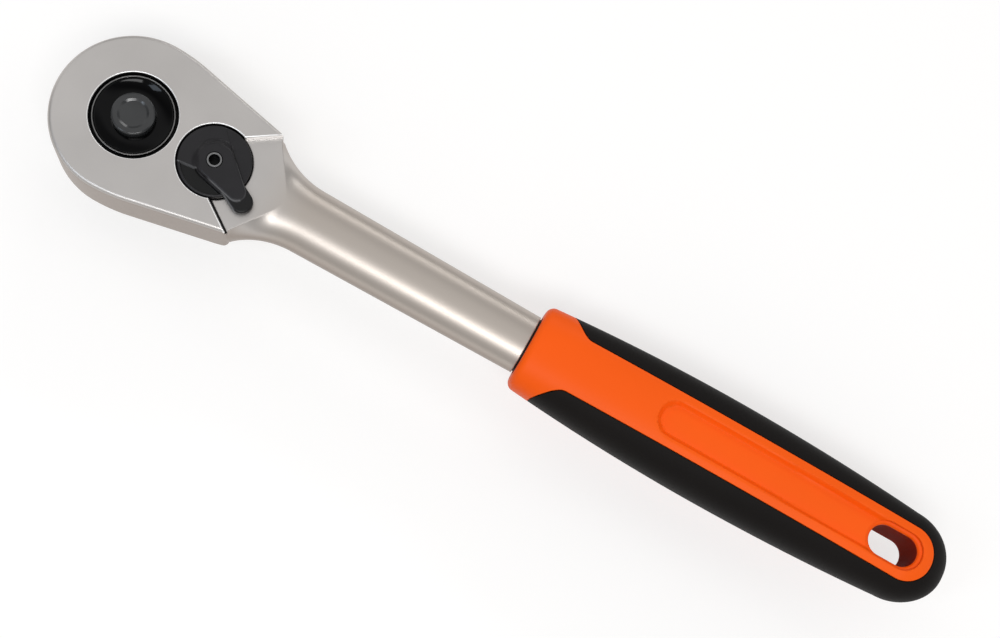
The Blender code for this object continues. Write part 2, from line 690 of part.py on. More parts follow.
def make_gear():
    """Gear, journals and drive square in one piece, hollow for the collar, button and release pin."""
    gear = turned(
        "drive_gear",
        [
            (0, HUB_TOP),
            (HUB_RIM_RADIUS, HUB_TOP),
            (HUB_RIM_RADIUS, SEAL_GROOVE_TOP),
            (SEAL_GROOVE_RADIUS, SEAL_GROOVE_TOP),
            (SEAL_GROOVE_RADIUS, SEAL_GROOVE_LOW),
            (UPPER_JOURNAL_RADIUS, SEAL_GROOVE_LOW),
            (UPPER_JOURNAL_RADIUS, TEETH_LOW + RUN_GAP),
            (LOWER_JOURNAL_RADIUS, TEETH_LOW + RUN_GAP),
            (LOWER_JOURNAL_RADIUS, SQUARE_LENGTH),
            (0, SQUARE_LENGTH),
        ],
    )
    teeth = prism("gear_teeth", tooth_outline(0), TEETH_LOW, TEETH_TOP, helper=True)
    square = block("drive_square", (SQUARE_SIDE, SQUARE_SIDE, SQUARE_LENGTH + BREAK), 0, helper=True)
    round_edges(square, SQUARE_EDGE)
    hollow_radius = BUTTON_FLANGE_RADIUS + RUN_GAP
    sleeve_radius = COLLAR_SLEEVE_RADIUS + FIT_GAP
    pin_floor = pin_low() - BUTTON_TRAVEL - RUN_GAP
    hollow = turned(
        "hub_hollow",
        [
            (0, HUB_TOP + BREAK),
            (COLLAR_RADIUS + FIT_GAP, HUB_TOP + BREAK),
            (COLLAR_RADIUS + FIT_GAP, HUB_TOP - COLLAR_FLANGE - FIT_GAP),
            (sleeve_radius, HUB_TOP - COLLAR_SHOULDER - FIT_GAP),
            (sleeve_radius, COLLAR_LOW - FIT_GAP),
            (hollow_radius, COLLAR_LOW - FIT_GAP),
            (hollow_radius, SPRING_BORE_FLOOR),
            (PIN_BORE_RADIUS, SPRING_BORE_FLOOR),
            (PIN_BORE_RADIUS, pin_floor),
            (0, pin_floor),
        ],
        helper=True,
    )
    lip_start = SQUARE_SIDE / 2 - BALL_LIP
    lip_reach = lip_start - BALL_OFFSET
    lip_radius = math.sqrt(BALL_RADIUS**2 - lip_reach**2) + MESH_GAP
    ball_hole = turned(
        "ball_hole",
        [
            (0, SQUARE_SIDE / 2 + BREAK),
            (lip_radius, SQUARE_SIDE / 2 + BREAK),
            (lip_radius, lip_start),
            (BALL_RADIUS + MESH_GAP, lip_start),
            (BALL_RADIUS + MESH_GAP, 0),
            (0, 0),
        ],
        SMALL_STEPS,
        helper=True,
    )
    to_ball = Matrix.Translation((0, 0, BALL_HEIGHT))
    ball_hole.matrix_basis = to_ball @ Matrix.Rotation(math.pi / 2, 4, "X")
    join(gear, teeth, square)
    cut(gear, hollow, ball_hole)
    finish(gear, (0.55, 0.53, 0.51), 0.25, 1.0)
    seal_radius = SEAL_GROOVE_RADIUS + FIT_GAP + SEAL_WIRE / 2
    seal = torus("hub_seal", seal_radius, SEAL_WIRE, (SEAL_GROOVE_TOP + SEAL_GROOVE_LOW) / 2)
    finish(seal, (0.01, 0.01, 0.01), 0.5, 0.0)


def make_collar():
    """Black dished collar that guides the button and keeps its flange in the hub."""
    bore = BUTTON_RADIUS + FIT_GAP
    dish_edge = COLLAR_RADIUS - COLLAR_LIP
    profile = [
        (COLLAR_RADIUS, HUB_TOP),
        (COLLAR_RADIUS, HUB_TOP - COLLAR_FLANGE),
        (COLLAR_SLEEVE_RADIUS, HUB_TOP - COLLAR_SHOULDER),
        (COLLAR_SLEEVE_RADIUS, COLLAR_LOW),
        (bore, COLLAR_LOW),
    ]
    for i in range(DISH_STEPS + 1):
        turn = math.pi / 2 * i / DISH_STEPS
        radius = bore + (dish_edge - bore) * math.sin(turn)
        profile.append((radius, HUB_TOP - DISH_DEPTH * math.cos(turn)))
    finish(turned("button_collar", profile, closed=True), (0.006, 0.006, 0.008), 0.08, 0.0)


def pin_low():
    return cone_start() - PIN_FOOT


def cone_start():
    """Level at which the pin's cone leaves full radius: the ball at rest just clears the cone."""
    lean = math.cos(math.atan(PIN_CONE_SLOPE))
    radius_at_ball = BALL_OFFSET - (BALL_RADIUS + MESH_GAP) / lean
    return BALL_HEIGHT - (PIN_RADIUS - radius_at_ball) / PIN_CONE_SLOPE


def make_button():
    """Button, release pin, spring and ball."""
    button_parent = pivot("button_slide", (0, 0, 0))
    profile = []
    for i in range(DISH_STEPS + 1):
        share = i / DISH_STEPS
        profile.append((DIMPLE_RADIUS * share, BUTTON_TOP - DIMPLE_DEPTH * (1 - share**DIMPLE_FLATNESS)))
    corner = (BUTTON_RADIUS - BUTTON_EDGE, BUTTON_TOP - BUTTON_EDGE)
    profile += arc(corner, BUTTON_EDGE, math.pi / 2, 0, 3)
    socket = PIN_RADIUS + FIT_GAP
    profile += [
        (BUTTON_RADIUS, BUTTON_FLANGE_TOP),
        (BUTTON_FLANGE_RADIUS, BUTTON_FLANGE_TOP),
        (BUTTON_FLANGE_RADIUS, BUTTON_LOW),
        (socket, BUTTON_LOW),
        (socket, PIN_TOP + FIT_GAP),
        (0, PIN_TOP + FIT_GAP),
    ]
    finish(turned("release_button", profile, parent=button_parent), (0.045, 0.047, 0.05), 0.3, 0.6)

    cone_length = (PIN_RADIUS - PIN_NECK_RADIUS) / PIN_CONE_SLOPE
    neck_low = cone_start() + cone_length
    neck_high = BALL_HEIGHT + BUTTON_TRAVEL + BALL_PROUD
    pin = turned(
        "release_pin",
        [
            (0, PIN_TOP),
            (PIN_RADIUS, PIN_TOP),
            (PIN_RADIUS, neck_high + BALL_RADIUS),
            (PIN_NECK_RADIUS, neck_high),
            (PIN_NECK_RADIUS, neck_low),
            (PIN_RADIUS, cone_start()),
            (PIN_RADIUS, pin_low()),
            (0, pin_low()),
        ],
        SMALL_STEPS,
        parent=button_parent,
    )
    finish(pin, (0.5, 0.49, 0.47), 0.3, 1.0)

    low = SPRING_BORE_FLOOR + FIT_GAP + SPRING_WIRE / 2
    high = BUTTON_LOW - FIT_GAP - SPRING_WIRE / 2
    spring = coil("button_spring", SPRING_RADIUS, SPRING_WIRE, low, high, SPRING_CURLS)
    finish(spring, (0.4, 0.4, 0.4), 0.3, 1.0)

    bm = bmesh.new()
    rings = SMALL_STEPS // 2
    bmesh.ops.create_uvsphere(bm, u_segments=SMALL_STEPS, v_segments=rings, radius=BALL_RADIUS)
    mesh = bpy.data.meshes.new("detent_ball")
    bm.to_mesh(mesh)
    bm.free()
    ball = add_object("detent_ball", mesh)
    ball.location = (0, -BALL_OFFSET, BALL_HEIGHT)
    finish(ball, (0.6, 0.6, 0.6), 0.15, 1.0)


def arm_outline():
    """Pear outline of the raised arm: a round hub whose sides run straight to the narrow end."""
    end = ARM_END_WIDTH / 2
    lean = math.asin((ARM_HUB_RADIUS - end) / ARM_END_X)
    half = arc((0, 0), ARM_HUB_RADIUS, math.pi, math.pi / 2 - lean, CORNER_STEPS)
    half += arc((ARM_END_X, 0), end, math.pi / 2 - lean, 0, CORNER_STEPS)
    return mirrored(half)


def tab_outline():
    end = TAB_WIDTH / 2
    half = [(ARM_END_X - TAB_WIDTH, end)]
    half += arc((TAB_REACH - end, 0), end, math.pi / 2, 0, CORNER_STEPS)
    return mirrored(half)


def finger_outline():
    """Plan of the hollow beside the arm, inside the disc's rim."""
    outside = DISC_RADIUS - FINGER_RIM
    outline = arc((0, 0), outside, FINGER_START, FINGER_END, CORNER_STEPS)
    return outline + [(0, 0)]


def make_lever(parent):
    """Disc with a finger hollow, a raised arm, and a thumb tab over the head's lowered floor."""
    disc_edge = DISC_RADIUS - DISC_EDGE
    lever = turned(
        "reverser_lever",
        [(0, DISC_TOP)]
        + arc((disc_edge, DISC_TOP - DISC_EDGE), DISC_EDGE, math.pi / 2, 0, 2)
        + [(DISC_RADIUS, DISC_LOW), (0, DISC_LOW)],
        parent=parent,
    )
    hollow_low = DISC_TOP - FINGER_DEPTH
    hollow = prism("finger_hollow", finger_outline(), hollow_low, DISC_TOP + BREAK, parent, helper=True)
    arm = prism("lever_arm", arm_outline(), hollow_low - RUN_GAP, ARM_TOP, parent, helper=True)
    tab_low = NECK_FLOOR + RUN_GAP
    tab = prism("lever_tab", tab_outline(), tab_low, ARM_TOP - TAB_BELOW_ARM, parent, helper=True)
    round_edges(arm, LEVER_EDGE)
    round_edges(tab, LEVER_EDGE)
    socket_side = TENON_SIDE + 2 * FIT_GAP
    socket_size = (socket_side, socket_side, TENON_HEIGHT + FIT_GAP + BREAK)
    socket = block("tenon_socket", socket_size, DISC_LOW - BREAK, parent, helper=True)
    flare = RIVET_RADIUS + RIVET_FLARE + FIT_GAP
    rivet_hole = turned(
        "rivet_hole",
        [
            (0, ARM_TOP + BREAK),
            (flare, ARM_TOP + BREAK),
            (flare, ARM_TOP - RIVET_FLARE_HEIGHT - FIT_GAP),
            (RIVET_RADIUS + FIT_GAP, ARM_TOP - RIVET_FLARE_HEIGHT - FIT_GAP),
            (RIVET_RADIUS + FIT_GAP, DISC_LOW),
            (0, DISC_LOW),
        ],
        SMALL_STEPS,
        parent=parent,
        helper=True,
    )
    cut(lever, hollow)
    join(lever, arm, tab)
    cut(lever, socket, rivet_hole)
    finish(lever, (0.028, 0.027, 0.029), 0.35, 0.0)


def make_spindle(parent):
    """Spindle with a square tenon, a hollow riveted end and a cross bore, its open ring and its seal."""
    ring_inner = SPINDLE_RADIUS - SPINDLE_RING_BITE
    bore_floor = ARM_TOP - RIVET_BORE_DEPTH
    spindle = turned(
        "reverser_spindle",
        [
            (0, ARM_TOP),
            (RIVET_RADIUS + RIVET_FLARE, ARM_TOP),
            (RIVET_RADIUS, ARM_TOP - RIVET_FLARE_HEIGHT),
            (RIVET_RADIUS, DISC_LOW - RUN_GAP),
            (SPINDLE_RADIUS, DISC_LOW - RUN_GAP),
            (SPINDLE_RADIUS, SPINDLE_RING_TOP + MESH_GAP),
            (ring_inner - FIT_GAP, SPINDLE_RING_TOP + MESH_GAP),
            (ring_inner - FIT_GAP, SPINDLE_RING_LOW - MESH_GAP),
            (SPINDLE_RADIUS, SPINDLE_RING_LOW - MESH_GAP),
            (SPINDLE_RADIUS, PAWL_LOW),
            (SPINDLE_FOOT_RADIUS, PAWL_LOW),
            (SPINDLE_FOOT_RADIUS, SPINDLE_FOOT_LOW),
            (0, SPINDLE_FOOT_LOW),
        ],
        SMALL_STEPS,
        parent=parent,
    )
    tenon_low = DISC_LOW - 2 * RUN_GAP
    tenon_size = (TENON_SIDE, TENON_SIDE, DISC_LOW + TENON_HEIGHT - tenon_low)
    tenon = block("tenon", tenon_size, tenon_low, parent, helper=True)
    rivet_bore = post("rivet_bore", RIVET_BORE_RADIUS, bore_floor, ARM_TOP + BREAK, parent)
    bore_mouth = SPINDLE_RADIUS + BREAK
    cross_bore = post("plunger_bore", PLUNGER_BORE_RADIUS, -PLUNGER_BORE_DEPTH, bore_mouth, parent)
    cross_bore.matrix_basis = plunger_frame()
    join(spindle, tenon)
    cut(spindle, rivet_bore, cross_bore)
    finish(spindle, (0.2, 0.2, 0.2), 0.35, 1.0)

    outer = SPINDLE_BORE_RADIUS + SPINDLE_RING_BITE - FIT_GAP
    start = SPINDLE_RING_OPENING / 2
    end = 2 * math.pi - start
    outline = arc((0, 0), outer, start, end, SMALL_STEPS)
    outline += arc((0, 0), ring_inner, end, start, SMALL_STEPS)
    ring = prism("spindle_ring", outline, SPINDLE_RING_LOW, SPINDLE_RING_TOP, parent)
    finish(ring, (0.3, 0.3, 0.3), 0.35, 1.0)

    seal_radius = SPINDLE_RADIUS + FIT_GAP + SPINDLE_SEAL_WIRE / 2
    seal_z = LEVER_SEAT - SPINDLE_SEAL_SPACE / 2
    seal = torus("spindle_seal", seal_radius, SPINDLE_SEAL_WIRE, seal_z, parent)
    finish(seal, (0.01, 0.01, 0.01), 0.5, 0.0)


def plunger_frame():
    """Local Z points out of the spindle towards the pawl, opposite the arm."""
    return Matrix.Translation((0, 0, PLUNGER_Z)) @ Matrix.Rotation(-math.pi / 2, 4, "Y")


def make_plunger(parent):
    """Round-nosed plunger and the spring behind it in the spindle's cross bore."""
    rear = PLUNGER_REACH - PLUNGER_LENGTH
    nose = arc((0, PLUNGER_REACH - PLUNGER_RADIUS), PLUNGER_RADIUS, math.pi / 2, 0, DISH_STEPS)
    profile = [(0, PLUNGER_REACH)] + nose[1:] + [(PLUNGER_RADIUS, rear), (0, rear)]
    plunger = turned("detent_plunger", profile, SMALL_STEPS, parent=parent)
    plunger.matrix_basis = plunger_frame()
    finish(plunger, (0.5, 0.5, 0.5), 0.25, 1.0)
    low = -PLUNGER_BORE_DEPTH + MESH_GAP + PLUNGER_SPRING_WIRE / 2
    high = rear - MESH_GAP - PLUNGER_SPRING_WIRE / 2
    sizes = (PLUNGER_SPRING_RADIUS, PLUNGER_SPRING_WIRE, low, high, PLUNGER_SPRING_CURLS)
    spring = coil("plunger_spring", *sizes, parent)
    spring.matrix_basis = plunger_frame()
    finish(spring, (0.4, 0.4, 0.4), 0.3, 1.0)


def pawl_outline():
    """Level rocker seen along its pin, relative to the pin: relieved waist, two horns, hollow back."""
    waist = GEAR_TIP_RADIUS + PAWL_WAIST_GAP
    half = arc((0, 0), waist, 0, PAWL_HORN_START - TOOTH_LAND, CORNER_STEPS)
    half += arc((0, 0), PAWL_HORN_RADIUS, PAWL_HORN_START, PAWL_HORN_END, CORNER_STEPS)
    half += arc((0, 0), PAWL_OUTSIDE_RADIUS, PAWL_HORN_END, PAWL_HORN_END, 1)[:1]
    half.append((PAWL_X + PAWL_BACK_DEPTH, PAWL_BACK_HALF_WIDTH))
    back_start = math.pi - PAWL_BACK_ARC
    half += arc((REVERSER_X, 0), PAWL_BACK_RADIUS, back_start, math.pi, CORNER_STEPS)
    return mirrored([(x - PAWL_X, y) for x, y in half])


def make_pawl():
    """Rocking pawl whose horns are cut by the gear's own teeth at each end of its swing, and its pin."""
    parent = pivot("pawl_pivot", (PAWL_X, 0, 0), PAWL_REST)
    pawl = prism("pawl", pawl_outline(), PAWL_LOW, PAWL_TOP, parent)
    cut_low = PAWL_LOW - BREAK
    cut_top = PAWL_TOP + BREAK
    cut(pawl, post("pawl_hole", PAWL_PIN_RADIUS + FIT_GAP, cut_low, cut_top, parent))
    for side, swing in (("left", PAWL_REST), ("right", -PAWL_REST)):
        name = f"pawl_teeth_{side}"
        teeth = prism(name, tooth_outline(MESH_GAP), cut_low, cut_top, parent, helper=True)
        to_gear = Matrix.Rotation(-swing, 4, "Z") @ Matrix.Translation((-PAWL_X, 0, 0))
        teeth.matrix_basis = to_gear @ teeth.matrix_basis
        cut(pawl, teeth)
    finish(pawl, (0.35, 0.34, 0.33), 0.35, 1.0)
    pin = post("pawl_pin", PAWL_PIN_RADIUS, PAWL_PIN_LOW, PAWL_PIN_TOP, helper=False)
    pin.location.x = PAWL_X
    finish(pin, (0.45, 0.45, 0.45), 0.3, 1.0)


def grip_share(x):
    """Width of the grip at x as a share of its widest: a barrel with a rounded front and a round end."""
    half = GRIP_WIDTH / 2
    if x < GRIP_WIDEST_X:
        half -= GRIP_FRONT_DROP * ((GRIP_WIDEST_X - x) / GRIP_WIDEST) ** 2
    else:
        along = (min(x, GRIP_ROUND_X) - GRIP_WIDEST_X) / (GRIP_ROUND_X - GRIP_WIDEST_X)
        half -= GRIP_REAR_DROP * along**2
    corner = GRIP_FRONT_ROUND - (x - GRIP_START_X)
    if corner > 0:
        half -= GRIP_FRONT_ROUND - math.sqrt(GRIP_FRONT_ROUND**2 - corner**2)
    past = (x - GRIP_ROUND_X) / GRIP_END_ROUND
    if past > 0:
        half *= math.sqrt(max(1 - past**2, 0))
    return half / (GRIP_WIDTH / 2)


def grip_places():
    """Places of the grip's sections: close together where it turns in at both ends."""
    quarter = math.pi / 2
    places = []
    for i in range(GRIP_FRONT_STEPS):
        turn = quarter * i / GRIP_FRONT_STEPS
        places.append(GRIP_START_X + GRIP_FRONT_ROUND * (1 - math.cos(turn)))
    first = GRIP_START_X + GRIP_FRONT_ROUND
    for i in range(GRIP_STEPS + 1):
        places.append(first + (GRIP_ROUND_X - first) * i / GRIP_STEPS)
    for i in range(1, GRIP_END_STEPS):
        places.append(GRIP_ROUND_X + GRIP_END_ROUND * math.sin(quarter * i / GRIP_END_STEPS))
    places.append(GRIP_END_X - GRIP_TIP)
    return places


def grip_sections(inset):
    """Sections of the grip's outer form, or of a form that lies inside it all round."""
    sections = []
    for x in grip_places():
        half_width = GRIP_WIDTH / 2 * grip_share(x) - inset
        half_height = GRIP_THICKNESS / 2 * grip_share(x) - inset
        if half_height > FIT_GAP:
            sections.append((x, half_width, half_height, GRIP_SQUARENESS))
    if inset:
        sections = [row for row in sections if row[0] <= GRIP_END_X - inset]
    return sections


def side_outline(gap):
    """Plan of the two soft side panels, which join round the end of the stripe."""
    half = STRIPE_WIDTH / 2 + gap
    wide = GRIP_WIDTH
    front = RING_EDGE_X + gap
    edge = []
    for i in range(CORNER_STEPS + 1):
        share = i / CORNER_STEPS
        x = front + (STRIPE_START_X - RING_EDGE_X) * share
        y = GRIP_WIDTH / 2 + (half - GRIP_WIDTH / 2) * smooth_step(share)
        edge.append((x, y))
    edge += arc((STRIPE_END_X - STRIPE_WIDTH / 2, 0), half, math.pi / 2, 0, CORNER_STEPS)
    inner = edge + [(x, -y) for x, y in reversed(edge[:-1])]
    far = GRIP_END_X + BREAK
    return inner + [(front, -wide), (far, -wide), (far, wide), (front, wide)]


def capsule(start, end, width):
    """Outline with round ends between two places on the X axis."""
    radius = width / 2
    quarter = math.pi / 2
    outline = arc((end - radius, 0), radius, -quarter, quarter, CORNER_STEPS)
    return outline + arc((start + radius, 0), radius, quarter, 3 * quarter, CORNER_STEPS)


def scoop_cutter(side):
    """Long shallow recess that deepens towards the hang hole, on the upper or lower face."""
    start_z = GRIP_THICKNESS / 2 * grip_share(SCOOP_START_X) - SCOOP_DEPTH
    hole_middle = HANG_HOLE_END_X - HANG_HOLE_LENGTH / 2
    end_z = GRIP_THICKNESS / 2 * grip_share(hole_middle) - SCOOP_END_DEPTH
    slope = math.atan2(start_z - end_z, hole_middle - SCOOP_START_X)
    end_x = HANG_HOLE_END_X + (SCOOP_WIDTH - HANG_HOLE_WIDTH) / 2
    outline = capsule(0, end_x - SCOOP_START_X, SCOOP_WIDTH)
    name = "scoop_upper" if side > 0 else "scoop_lower"
    scoop = prism(name, outline, 0, GRIP_THICKNESS, helper=True)
    scoop.matrix_basis = (
        Matrix.Translation((SCOOP_START_X, 0, AXIS_Z))
        @ Matrix.Rotation(0 if side > 0 else math.pi, 4, "X")
        @ Matrix.Translation((0, 0, start_z))
        @ Matrix.Rotation(slope, 4, "Y")
        @ scoop.matrix_basis
    )
    return scoop


def make_grip():
    """Hard core with collar, stripes and hang hole, and the soft sleeve moulded on its sides and end."""
    low = AXIS_Z - GRIP_THICKNESS
    high = AXIS_Z + GRIP_THICKNESS
    core = loft("grip_core", grip_sections(0))
    panels = prism("side_panels", side_outline(0), low, high, helper=True)
    backing = loft("core_backing", grip_sections(SLEEVE_THICKNESS), helper=True)
    tang_space = loft("tang_space", shank_sections(FIT_GAP), helper=True)
    hole_outline = capsule(HANG_HOLE_START_X, HANG_HOLE_END_X, HANG_HOLE_WIDTH)
    hole = prism("hang_hole", hole_outline, low, high, helper=True)
    cut(panels, backing)
    cut(core, panels, tang_space, scoop_cutter(1), scoop_cutter(-1), hole)
    finish(core, (0.9, 0.115, 0.008), 0.42, 0.0)

    sleeve = loft("grip_sleeve", grip_sections(0))
    sleeve_plan = prism("sleeve_plan", side_outline(FIT_GAP), low, high, helper=True)
    sleeve_inside = loft("sleeve_inside", grip_sections(SLEEVE_THICKNESS - FIT_GAP), helper=True)
    combine(sleeve, sleeve_plan, "INTERSECT")
    cut(sleeve, sleeve_inside)
    finish(sleeve, (0.013, 0.012, 0.012), 0.55, 0.0)


clear_scene()
PARTS = new_collection("socket_ratchet")
CUTTERS = new_collection("cutters")
CUTTERS.hide_render = True
make_body()
make_cover()
make_gear()
make_collar()
make_button()
LEVER_PIVOT = pivot("lever_pivot", (REVERSER_X, 0, 0), LEVER_REST)
make_lever(LEVER_PIVOT)
make_spindle(LEVER_PIVOT)
make_plunger(LEVER_PIVOT)
make_pawl()
make_grip()
bpy.context.view_layer.update()
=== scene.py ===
"""Dressed scene of the socket ratchet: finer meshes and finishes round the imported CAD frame."""

import json
import math

import bmesh
import bpy
from mathutils import Matrix, Vector


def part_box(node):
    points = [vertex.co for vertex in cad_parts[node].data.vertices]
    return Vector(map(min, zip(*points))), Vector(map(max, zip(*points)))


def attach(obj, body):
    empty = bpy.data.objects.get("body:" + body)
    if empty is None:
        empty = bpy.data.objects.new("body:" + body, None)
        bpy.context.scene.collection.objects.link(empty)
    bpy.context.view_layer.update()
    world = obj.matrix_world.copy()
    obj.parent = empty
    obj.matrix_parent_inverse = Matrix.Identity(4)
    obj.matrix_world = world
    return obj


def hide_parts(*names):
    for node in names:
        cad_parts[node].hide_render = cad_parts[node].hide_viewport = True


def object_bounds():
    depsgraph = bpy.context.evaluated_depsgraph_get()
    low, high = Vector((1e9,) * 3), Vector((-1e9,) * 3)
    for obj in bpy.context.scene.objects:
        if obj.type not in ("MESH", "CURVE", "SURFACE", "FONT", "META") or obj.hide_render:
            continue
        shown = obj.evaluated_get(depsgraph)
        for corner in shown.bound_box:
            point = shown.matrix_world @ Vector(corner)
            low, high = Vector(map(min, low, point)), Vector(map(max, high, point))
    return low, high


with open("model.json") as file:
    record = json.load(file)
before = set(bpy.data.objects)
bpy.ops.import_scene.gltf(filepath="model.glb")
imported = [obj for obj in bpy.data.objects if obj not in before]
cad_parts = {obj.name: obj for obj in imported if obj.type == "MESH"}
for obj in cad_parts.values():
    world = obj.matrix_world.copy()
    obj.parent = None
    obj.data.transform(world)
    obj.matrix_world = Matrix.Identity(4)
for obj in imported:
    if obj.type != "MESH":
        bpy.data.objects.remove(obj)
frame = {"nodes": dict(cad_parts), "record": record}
cad_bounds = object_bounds()

# Places that the frame gives
JOINTS = {joint["name"]: joint for joint in frame["record"]["behaviour"]["joints"]}
BODY_LOW, BODY_HIGH = (Vector(corner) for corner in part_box("ratchet_body"))
GRIP_LOW, GRIP_HIGH = (Vector(corner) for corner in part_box("grip_core"))
SLEEVE_LOW, SLEEVE_HIGH = (Vector(corner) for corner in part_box("grip_sleeve"))
LEVER_LOW, LEVER_HIGH = (Vector(corner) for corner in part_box("reverser_lever"))
COLLAR_LOW, COLLAR_HIGH = (Vector(corner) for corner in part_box("button_collar"))
BUTTON_LOW, BUTTON_HIGH = (Vector(corner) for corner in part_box("release_button"))
PLATE_HIGH = Vector(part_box("cover_plate")[1])
RING_LOW, RING_HIGH = (Vector(corner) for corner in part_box("cover_snap_ring"))
GEAR_HIGH = Vector(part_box("drive_gear")[1])
SPINDLE_LOW, SPINDLE_HIGH = (Vector(corner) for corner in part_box("reverser_spindle"))
HEAD_RADIUS = -BODY_LOW.x
HEAD_BOTTOM = BODY_LOW.z
HEAD_TOP = BODY_HIGH.z
AXIS_Z = (HEAD_BOTTOM + HEAD_TOP) / 2
TANG_END_X = BODY_HIGH.x
REVERSER_X = JOINTS["lever_flip"]["pos_m"][0]
LEVER_SWING = math.radians(JOINTS["lever_flip"]["range_deg"][1])
LEVER_REST = -LEVER_SWING / 2
GRIP_START_X = GRIP_LOW.x
GRIP_END_X = SLEEVE_HIGH.x
ARM_TOP = LEVER_HIGH.z
DISC_LOW = LEVER_LOW.z

# Small gaps and cutting room
FIT_GAP = 0.0002
RUN_GAP = 0.0003
BREAK = 0.002
WELD = 0.000001

# Head, neck and shank
HEAD_SIDE_RADIUS = 0.045
HEAD_TAPER = math.radians(11.9)
HEAD_REAR_X = 0.0346
HEAD_EDGE = 0.0011
HOLE_ROUND = 0.00028
STOP_ROUND = 0.0004
STOP_GROOVE = 0.00065
STOP_GROOVE_DEPTH = 0.0006
DRIVE_HOLE_RADIUS = 0.0111
REVERSER_HOLE_RADIUS = 0.0096
LEVER_RECESS = 0.003
CHAMBER_DEPTH = 0.0036
CHAMBER_RADIUS = 0.0137
RAMP_LENGTH = 0.006
STOP_ANGLE = math.radians(35)
STOP_OFFSET = 0.00533
NECK_END_X = 0.05
NECK_FILLET = 0.023
NECK_TONGUE = 0.0087
NECK_RISE_FILLET = 0.009
SHANK_WIDTH = 0.0173
SHANK_HEIGHT = 0.0124
SHANK_END_WIDTH = 0.0158
SHANK_END_HEIGHT = 0.012
SHANK_SQUARENESS = 2.3
SHANK_IN_GRIP = 0.004
TANG_WIDTH = 0.012
TANG_HEIGHT = 0.009
MOUTH_LINE = 0.0005
MOUTH_LINE_DEPTH = 0.0005
FLOOR_STEP = 0.00002
NECK_FLOOR = AXIS_Z + SHANK_HEIGHT / 2 + FLOOR_STEP

# Button and its dished collar
DISH_DEPTH = 0.00078
COLLAR_LIP = 0.0003
COLLAR_LIP_ROUND = 0.0001
COLLAR_FLANGE = 0.001
COLLAR_SHOULDER = 0.0022
COLLAR_SLEEVE = 0.0021
BUTTON_RADIUS = 0.0055
BUTTON_EDGE = 0.0006
DIMPLE_RIM = 0.0016
DIMPLE_FACET = 0.0006
DIMPLE_SLOPE = math.radians(24)
DIMPLE_HOLLOW = 0.00012

# Reverser lever, in its own frame with the arm along +X
ARM_RISE = 0.0013
ARM_HUB_RADIUS = 0.0049
ARM_END_RADIUS = 0.0024
ARM_END_X = 0.0098
ARM_SHIFT = 0.0002
ARM_EDGE = 0.0004
ARM_ROUND = 0.0007
ARM_HUB_BLEND = 0.0022
ARM_CREASE = 0.00015
TAB_WIDTH = 0.0058
TAB_REACH = 0.0153
TAB_BELOW_ARM = 0.0006
DISC_EDGE = 0.0005
LEVER_EDGE = 0.0006
FINGER_RIM = 0.0008
FINGER_DEPTH = 0.0011
FINGER_EDGE = 0.0003
FINGER_CORNER = (-0.0006, -0.0046)
FINGER_SLOPE = math.radians(35)
RIVET_HOLE_RADIUS = 0.0021
# Painted highlight lines on the lever: width, inset from the edge, run-in, and share where they are faint
HIGHLIGHT_LINE_WIDTH = 0.00022
HIGHLIGHT_LINE_INSET = 0.00015
HIGHLIGHT_LINE_RUN = 0.002
FAINT_HIGHLIGHT = 0.3
# Share of painted shade on the tab
TAB_PAINTED_SHADE = 0.9
DISC_TOP = ARM_TOP - ARM_RISE
DISC_RADIUS = REVERSER_HOLE_RADIUS - RUN_GAP
TAB_TOP = ARM_TOP - TAB_BELOW_ARM
TAB_LOW = NECK_FLOOR + RUN_GAP
TAB_END_X = TAB_REACH - TAB_WIDTH / 2

# Moulded grip
GRIP_WIDTH = SLEEVE_HIGH.y - SLEEVE_LOW.y
GRIP_THICKNESS = GRIP_HIGH.z - GRIP_LOW.z
GRIP_WIDEST = 0.0539
GRIP_FRONT_DROP = 0.00245
GRIP_REAR_DROP = 0.0021
GRIP_FRONT_ROUND = 0.002
GRIP_END_ROUND = 0.013
GRIP_TIP = 0.00005
GRIP_SQUARENESS = 2.5
SLEEVE_THICKNESS = 0.0024
STRIPE_WIDTH = 0.0142
STRIPE_SETBACK = 0.0135
STRIPE_END_MARGIN = 0.0058
RING_LENGTH = 0.003
HANG_HOLE_LENGTH = 0.0133
HANG_HOLE_WIDTH = 0.0079
HANG_HOLE_MARGIN = 0.0098
HANG_MOUTH = 0.001
SCOOP_SETBACK = 0.0366
SCOOP_WIDTH = 0.0088
SCOOP_DEPTH = 0.0016
SCOOP_END_DEPTH = 0.0019
SCOOP_EDGE = 0.0012
STRIPE_START_X = GRIP_START_X + STRIPE_SETBACK
STRIPE_END_X = GRIP_END_X - STRIPE_END_MARGIN
RING_EDGE_X = GRIP_START_X + RING_LENGTH
HANG_HOLE_END_X = GRIP_END_X - HANG_HOLE_MARGIN
HANG_HOLE_START_X = HANG_HOLE_END_X - HANG_HOLE_LENGTH
SCOOP_START_X = GRIP_START_X + SCOOP_SETBACK
GRIP_WIDEST_X = GRIP_START_X + GRIP_WIDEST
GRIP_ROUND_X = GRIP_END_X - GRIP_END_ROUND

# Fineness of the meshes
ROUND_STEPS = 128
OUTLINE_STEPS = 72
CORNER_STEPS = 24
EDGE_STEPS = 8
RING_POINTS = 180
NECK_STEPS = 96
GRIP_STEPS = 170
GRIP_END_STEPS = 28
LEVER_COLUMNS = 540
LEVER_RINGS = 64
TAB_RINGS = 40

# Angles between faces at which an edge stays sharp or is rounded, and parts of a turn
SHARP_ANGLE = math.radians(32)
SCULPTED_ANGLE = math.radians(60)
FACET_ANGLE = math.radians(15)
BEVEL_ANGLE = math.radians(40)
QUARTER = math.pi / 2
FULL_TURN = 2 * math.pi

# Places in the forging's list of finishes: satin steel, painted shade, painted highlight
SATIN, PAINTED_SHADE, PAINTED_HIGHLIGHT = range(3)


